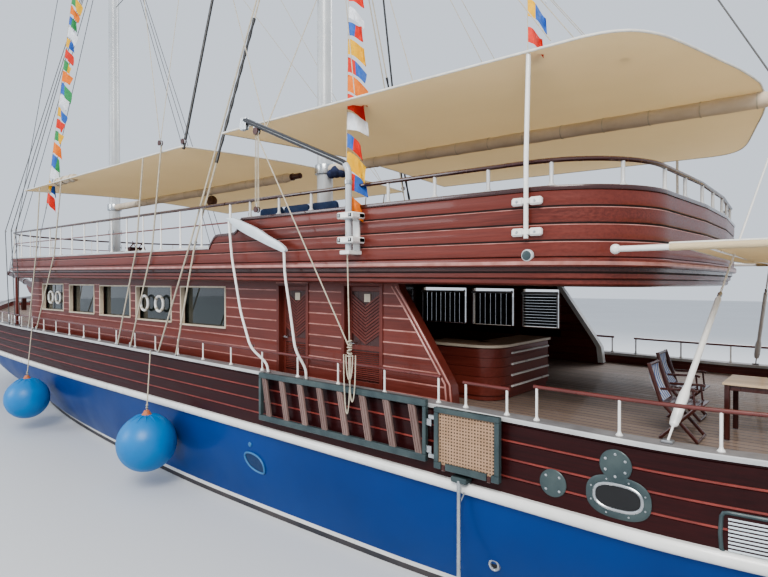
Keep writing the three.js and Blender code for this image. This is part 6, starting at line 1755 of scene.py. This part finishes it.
# a crowned pad: its sides pull in between the corners, its middle swells, and piping runs round its edge
def cushion(name, place, half, along, across, out):
    place, along, across, out = (np.asarray(v, float) for v in (place, along, across, out))
    a, b, c = half
    u = turns(72)
    edge = lambda t: np.sign(t) * np.abs(t) ** 0.28
    plan = columns(edge(np.cos(u)), edge(np.sin(u)))
    plan = plan * (1 - 0.035 * (1 - plan[:, ::-1] ** 2))
    rows = []
    for share in np.linspace(-1, 1, 19):  # from the underside's middle over the rim to the top's middle
        reach = max(1 - abs(share) ** 3.2, 0.0) ** 0.5 if abs(share) < 1 else 0.0
        reach = 1.0 - (1.0 - reach) ** 1.6 if reach < 1 else 1.0
        level = c * copysign(abs(share) ** 1.3, share)
        level = max(level, -0.62 * c)
        swell = 1 + 0.18 * np.cos(plan[:, 0] * reach * 1.4) * np.cos(plan[:, 1] * reach * 1.4)
        rows.append(place + reach * (a * plan[:, :1] * along +
            b * plan[:, 1:] * across) + (level * swell)[:, None] * out)
    pad = Shape()
    pad.grid(rows, "cushionBlue", closed=True)
    rim = place + 1.004 * (a * plan[:, :1] * along + b * plan[:, 1:] * across) + 0.1 * c * out
    pad.tube(rim, 0.007, "bundle", 6, closed=True)
    for k in (-0.33, 0.33):  # sewn channels over the top
        v = np.linspace(-0.93, 0.93, 25)
        lift = c * (1.0 + 0.16 * np.cos(v)) * (1 - np.abs(v) ** 6 * 0.5)
        pad.tube(place + a * k * along + (b * v)[:, None] * across +
            (lift - 0.004)[:, None] * out, 0.005, "bundle", 6)
    made = pad.make(name, "cloth")


for side, word in ((1, "Port"), (-1, "Starboard")):
    for k in range(6):
        x = -6.72 - 1.0 * k
        cushion("seatCushion%s%d" % (word, k + 1), (x, side * 3.56, 5.385 + slope * x), (0.49, 0.235, 0.06),
            (1, 0, slope), (0, 1, 0), (0, 0, 1))
    for k in range(3):
        x = -7.1 - 0.7 * k
        cushion("backCushion%s%d" % (word, k + 1), (x, side * 3.728, 5.67 + slope * x), (0.335, 0.26, 0.055),
            (1, 0, slope), (0, 0.06 * side, 1), (0, -side, 0))
print("bench")

# fittings on the hull's sides: bolted discs, the fairlead's rim, a louvre, a round port, an outlet
fittings = Shape()
for side in (1, -1):
    for x, z, r, bolts in ((-12.63, 2.03, 0.168, 4), (-13.36, 2.4, 0.178, 6)):
        fittings.turned((x, side * 3.895, z), (0, side, 0),
            [(0, r), (0.02, r), (0.027, r - 0.008), (0.027, 0.001)], "frameGreen", 40)
        for k in range(bolts):
            a = 2 * pi * (k + 0.5) / bolts
            p = (x + 0.7 * r * cos(a), side * 3.9215, z + 0.7 * r * sin(a))
            fittings.turned(p, (0, side, 0),
                [(0, 0.017), (0.004, 0.015), (0.007, 0.008), (0.007, 0.001)], "steel", 10)
    turn = turns(60)
    oval = lambda a, b: columns(-13.385 + a * np.sign(np.cos(turn)) * np.abs(np.cos(turn)) ** 0.75,
        2.04 + b * np.sign(np.sin(turn)) * np.abs(np.sin(turn)) ** 0.8)
    ovalRows = [(0.355, 0.24, 3.895), (0.355, 0.24, 3.914), (0.345, 0.23, 3.921), (0.285, 0.17, 3.922),
        (0.275, 0.16, 3.918), (0.27, 0.155, 3.895)]
    fittings.grid([columns(oval(a, b)[:, 0], side * y, oval(a, b)[:, 1]) for a, b, y in ovalRows],
        "frameGreen", closed=True)
    fittings.tube(columns(oval(0.262, 0.145)[:, 0], side * 3.912, oval(0.262, 0.145)[:, 1]), 0.02,
        "steel", 10, closed=True)
    inside = oval(0.25, 0.13)
    # a black fill inside the oval rim, painted shade of the opening
    fittings.cap(columns(inside[:, 0], side * 3.9095, inside[:, 1]), "black")
    for k in range(8):
        a = 2 * pi * (k + 0.5) / 8
        p = (-13.385 + 0.318 * cos(a), side * 3.921, 2.04 + 0.205 * sin(a))
        fittings.turned(p, (0, side, 0), [(0, 0.012), (0.004, 0.01), (0.006, 0.001)], "steel", 10)
    xs = np.linspace(-14.44, -15.16, 12)
    for k in range(9):  # slats of the louvre follow the side
        z = 1.745 + 0.04 * k
        fittings.tube([onSide(side, x, z, 0.012) for x in xs], 0.012, "panelWhite", 8)
    ring = [(-14.4, 1.71), (-14.38, 1.75), (-14.37, 1.9), (-14.38, 2.08), (-14.4, 2.12)]
    ring += [(x, 2.13) for x in xs] + [(-15.2, 2.09), (-15.2, 1.74)] + [(x, 1.7) for x in xs[::-1]]
    fittings.tube([onSide(side, x, z, 0.006) for x, z in ring], 0.022, "frameGreen", 8, closed=True)
    # a black sheet behind the louvre's slats, painted shade
    fittings.grid([[onSide(side, x, z, 0.002) for x in xs] for z in (1.71, 1.92, 2.12)], "black")
    port = [(-7.0, 0.86), (-6.72, 0.87), (-6.52, 0.95), (-6.42, 1.09), (-6.46, 1.19), (-6.66, 1.215),
        (-6.88, 1.17), (-7.0, 1.05)]
    loop = np.array(rounded([port[-1]] + port + port[:1], 0.09, 5)[1:-1])
    # the port's raised rim and the small boss above it are painted a lighter blue as a highlight
    fittings.tube([onSide(side, x, z, 0.013) for x, z in loop], 0.02, "paintedHighlightBlue", 8, closed=True)
    fittings.cap([onSide(side, x, z, 0.009) for x, z in loop], "deepBlue")
    fittings.turned(onSide(side, -6.62, 1.37, -0.01), (0, side, 0),
        [(0, 0.05), (0.026, 0.045), (0.034, 0.03), (0.034, 0.001)], "paintedHighlightBlue", 18)
outlet = onSide(1, -11.72, 0.65, -0.01)
fittings.turned(outlet, (0, 1, 0),
    [(0, 0.09), (0.03, 0.08), (0.036, 0.066), (0.03, 0.052), (0.012, 0.045)], "steel", 24)
# a black disc inside the outlet, painted shade of its bore
fittings.turned(outlet, (0, 1, 0), [(0.013, 0.046), (0.014, 0.001)], "black", 24)
fittings.make("hullFittings", "steel")

# white rails and hanging slats in the open room's starboard windows; a round lamp under the wall
blinds = Shape()
for w, (aft, fore, low, high) in enumerate(barWindows):
    blinds.box((aft - 0.02, -3.19, high - 0.15), (fore + 0.02, -3.13, high - 0.09), "white", 0.008)
    for x in (aft + 0.015, fore - 0.015):
        blinds.box((x - 0.014, -3.195, low), (x + 0.014, -3.17, high - 0.07), "white", 0.004)
    if w == 0:
        for z in np.arange(low + 0.03, high - 0.1, 0.075):
            blinds.box((aft + 0.03, -3.188, z), (fore - 0.03, -3.176, z + 0.066), "slat", 0.004)
    else:
        for x in np.arange(aft + 0.1, fore - 0.08, 0.16):
            blinds.box((x - 0.074, -3.186, low + 0.02), (x + 0.074, -3.176, high - 0.15), "slat", 0.003)
            blinds.tube([(x + 0.08, -3.17, low + 0.02), (x + 0.08, -3.17, high - 0.15)], 0.005, "steel", 6)
blinds.make("barBlinds", "cloth")

lamps = Shape()
for side in (1, -1):
    lamps.turned((-12.3, side * 3.905, 4.79), (0, side, 0),
        [(0, 0.08), (0.03, 0.08), (0.045, 0.07), (0.05, 0.06)], "greyWhite", 32)
    lamps.turned((-12.3, side * 3.905, 4.79), (0, side, 0),
        [(0.05, 0.06), (0.053, 0.045), (0.055, 0.02), (0.055, 0.001)], "frameGreen", 32)
lampTurn = np.linspace(0, pi, 19)
lamps.turned((-13.18, 2.97, 7.42), (0, 0, 1),
    [(0.16 * (1 - cos(t)) / 2, 0.06 * sin(t)) for t in lampTurn], "lampGlass", 24)
lamps.tube([(-13.18, 2.97, 7.575), (-13.18, 2.97, 7.64)], 0.008, "steel", 8)
lamps.make("roundLamps", "hull_white")
print("fittings")

# ropes: from the cap to the masts, from the awnings' corners, and the davit's own
kneeFirst, eyeFirst = np.array([-4.87, 3.97, 5.3]), np.array([-4.71, 0.225, 17.8])
ropes = Shape()
joinAt = np.array([-3.45, 3.97, 7.6])


def rope(shape, points, radius, slot="rope", sides=8, cuts=2):
    points = [np.asarray(p, float) for p in points]
    path = [points[0]]
    for a, b in zip(points[:-1], points[1:]):
        path += [a + (b - a) * t for t in np.linspace(0, 1, cuts)[1:]]
    shape.tube(path, radius, slot, sides)


for side in (1, -1):
    flip = np.array([1, side, 1])
    corner = np.array([-4.27, 3.88, 7.36]) * flip
    rope(ropes, [corner, np.array([-4.65, 0.16, 26.2]) * flip], 0.03, "black")
    blockAt(ropes, corner + [0, 0, 0.16], radius=0.06)
    rope(ropes, [joinAt * flip, (2.0, 0.02 * side, 16.6)], 0.009)
    rope(ropes, [joinAt * flip, (7.5, 0.12 * side, 27.9)], 0.009)
    blockAt(ropes, joinAt * flip, radius=0.06)
    for x, kneeX, headX, headZ in ((-1.85, -3.06, -3.45, 7.6), (-1.17, -2.3, -2.6, 7.4),
            (5.16, 4.26, 4.0, 7.42), (4.46, 2.77, 2.3, 7.42)):
        foot = np.array([x, 3.91, capAt(x) + 0.01]) * flip
        rope(ropes, [foot, np.array([kneeX, 3.97, 5.28 + slope * kneeX]) * flip,
            np.array([headX, 3.94, headZ]) * flip], 0.018)
        ropes.turned(foot, (0, 0, 1), [(0, 0.001), (0, 0.03), (0.1, 0.028), (0.12, 0.012)], "steel", 12)
    wrapLow = kneeFirst + (eyeFirst - kneeFirst) * 0.14
    wrapHigh = kneeFirst + (eyeFirst - kneeFirst) * 0.42
    rope(ropes, [wrapLow * flip, wrapHigh * flip],
        0.032 + 0.006 * np.sin(np.arange(41) * 1.3), "black", 8, 41)
    for y, z in ((3.95, 7.415), (2.2, 7.6)):
        rope(ropes, [(-9.4, side * y, z), (-4.8, 0.2 * side, 18.05)], 0.008)
        rope(ropes, [(-12.6, side * y, z - 0.06), (-4.8, 0.2 * side, 18.3)], 0.007)
ropes.make("freeRopes", "rope")

ringAt = np.array([-7.4, 4.1, 7.22])
slings = Shape()
rope(slings, [ringAt, (-4.62, 0.21, 12.0)], 0.012, "rope", 8, 26)
rope(slings, [ringAt + [0.02, 0, 0], (0.7, 0.02, 16.72)], 0.01, "rope", 8, 26)
made = slings.make("davitSlings", "rope", body=None)
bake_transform(made)
downhaul = Shape()
knot = np.array([-9.45, 4.12, 3.44])
rope(downhaul, [(-7.14, 4.1, 7.1), knot], 0.012, "rope", 8, 26)
made = downhaul.make("davitDownhaul", "rope", body=None)
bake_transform(made)
tail = Shape()
rope(tail, [(-9.41, 4.13, 4.99), knot], 0.012)
for k in range(6):  # the knot's turns
    t = turns(16)
    tilt = 0.35 * sin(2.1 * k)
    ring = columns(knot[0] + 0.032 * np.cos(t), knot[1] + 0.032 * np.sin(t),
        knot[2] - 0.12 + 0.045 * k + tilt * 0.05 * np.cos(t))
    tail.tube(ring, 0.012, "rope", 8, closed=True)
for shift, low in ((0.05, 2.42), (-0.06, 2.62), (0.0, 2.95)):  # hanging bights
    t = np.linspace(0, np.pi, 21)
    loop = columns(knot[0] + shift + 0.07 * np.cos(t), knot[1] + 0.006,
        knot[2] - 0.1 - (knot[2] - 0.1 - low) * np.sin(t))
    tail.tube(loop, 0.011, "rope", 8)
tail.make("davitTail", "rope")
print("ropes")


# plain pennants on a line: each a thin waving leaf, fixed along the line and hanging down and aft
def pennants(name, start, end, first, last, count, height, reach, colours, drift):
    start, end = np.asarray(start, float), np.asarray(end, float)
    line = end - start
    length = norm(line)
    d = line / length
    shape = Shape()
    shape.tube([start, end], 0.006, "rope", 6)
    for k in range(count):
        s = first + (last - first) * k / max(count - 1, 1)
        phase = rng.random() * 6
        grow = 0.85 + 0.3 * rng.random()
        u = np.linspace(0, 1, 7)[:, None]
        v = np.linspace(0, 1, 10)[None, :]
        taper = 1 - 0.25 * v * (k % 3 == 1)
        hoist = s + height * grow * (u - 0.5) * taper
        wave = 0.09 * np.sin(v * 7 + phase + u * 1.5) * v
        fly = np.asarray(drift, float)
        side = np.cross(fly, [0, 0, 1.0])
        side /= norm(side)
        body = start + hoist[..., None] * d + (reach * grow * v)[..., None] * fly * np.ones((7, 1, 1))
        body = body + wave[..., None] * side
        body[..., 2] -= (0.35 + 0.5 * rng.random()) * reach * grow * (v ** 1.5) * np.ones((7, 1))
        margin = np.minimum(np.minimum(u, 1 - u), np.minimum(v, 1 - v))
        thin = 0.0025 * np.minimum(1, 4 * margin)[..., None] * side
        halves = (0, 4, 9) if k % 2 else (0, 9)
        for a, b, colour in zip(halves[:-1], halves[1:],
                (colours[k % len(colours)], colours[(k + 2) % len(colours)])):
            for sign in (1, -1):
                shape.grid(body[:, a:b + 1] + sign * thin[:, a:b + 1], colour)
    shape.make(name, "cloth")


flagColours = ("red", "yellow", "stripeWhite", "pennantBlue", "orange", "green")
pennants("pennantsFore", (3.7, 3.88, 6.72), (7.6, 0.12, 28.1), 0.4, 9.4, 22, 0.36, 0.5,
    flagColours, (-0.5, -0.3, 0))
pennants("pennantsAft", (-9.41, 4.16, 5.2), (-5.73, 0.02, 24.3), 0.55, 6.3, 17, 0.29, 0.4,
    ("orange", "red", "yellow", "pennantBlue", "stripeWhite", "red"), (-0.7, -0.3, 0))
pennants("pennantsStern", (-12.3, 3.93, 7.32), (-10.36, 0.03, 15.5), 0.3, 7.6, 15, 0.32, 0.34,
    flagColours, (-0.6, -0.2, 0))
print("pennants")

# small soft things: a dark bundle by the mizzen's boom, a ball under the main boom, a roll on an awning
softs = Shape()
for dx, dy, dz, r in ((0, 0.05, 0, 0.16), (-0.16, -0.02, -0.03, 0.13), (0.12, 0.1, -0.05, 0.12)):
    profile = [(r * (1 - cos(t)), r * sin(t) * (1 + 0.06 * sin(5 * t)))
        for t in np.linspace(0.01, pi - 0.01, 17)]
    softs.turned((-5.12 + dx, dy, boomLevel("mizzen", -5.1) + 0.02 + dz - r - 0.12), (0, 0, 1),
        profile, "bundle", 20)
profile = [(0.2 * (1 - cos(t)) / 1.15, 0.17 * sin(t)) for t in np.linspace(0.01, pi - 0.01, 21)]
softs.turned((0.65, 0.0, boomLevel("main", 0.65) - 0.5), (0, 0, 1), profile, "ball", 24)
softs.tube([(0.65, 0, boomLevel("main", 0.65) - 0.17), (0.65, 0, boomLevel("main", 0.65) - 0.12)], 0.012,
    "rope", 8)
roll = [(x, 3.72 + 0.02 * sin(3 * x), 7.52) for x in np.linspace(1.9, 3.3, 21)]
softs.tube(roll, 0.1 + 0.015 * np.sin(np.arange(21) * 1.1), "boomCover", 16)
for x in (2.1, 2.6, 3.1):
    softs.turned((x - 0.02, 3.72 + 0.02 * sin(3 * x), 7.52), (1, 0, 0), band(0.09, 0.122, 0.04), "rope", 16)
softs.make("softBundles", "cloth")
print("small things")

# stage and light
floorMesh = bpy.data.meshes.new("floor")
reach = 150
floorMesh.from_pydata([(x * reach, y * reach, 0) for x, y in ((-1, -1), (1, -1), (1, 1), (-1, 1))], [],
    [(0, 1, 2, 3)])
floorMesh.materials.append(plain("floorPale", (0.62, 0.63, 0.64), 0.55, 0.05, (0.6, 0.61, 0.62)))
placed("floor", floorMesh)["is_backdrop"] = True
world = bpy.data.worlds.new("world")
scene.world = world
world.use_nodes = True
put(world.node_tree.nodes["Background"], {"Color": (0.83, 0.9, 1.0, 1.0), "Strength": 0.7})


def areaLight(name, place, aim, size, power, colour=(1, 1, 1)):
    data = bpy.data.lights.new(name, "AREA")
    data.size = size
    data.energy = power
    data.color = colour
    light = placed(name, data)
    light.location = place
    light.rotation_euler = (Vector(aim) - Vector(place)).to_track_quat("-Z", "Y").to_euler()


areaLight("key", (-22, 26, 26), (-4, 0, 4), 16, 9000, (1.0, 0.97, 0.92))
areaLight("fill", (14, 30, 14), (0, 0, 4), 14, 2600, (0.9, 0.95, 1.0))
areaLight("back", (-10, -26, 24), (-4, 0, 4), 14, 4000)
scene.view_settings.view_transform = "AgX"
scene.view_settings.look = "AgX - Medium High Contrast"
scene.view_settings.exposure = 0.3

{"after_load": firstBounds, "before_finish": [list(corner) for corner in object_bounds()]}
print("stage")
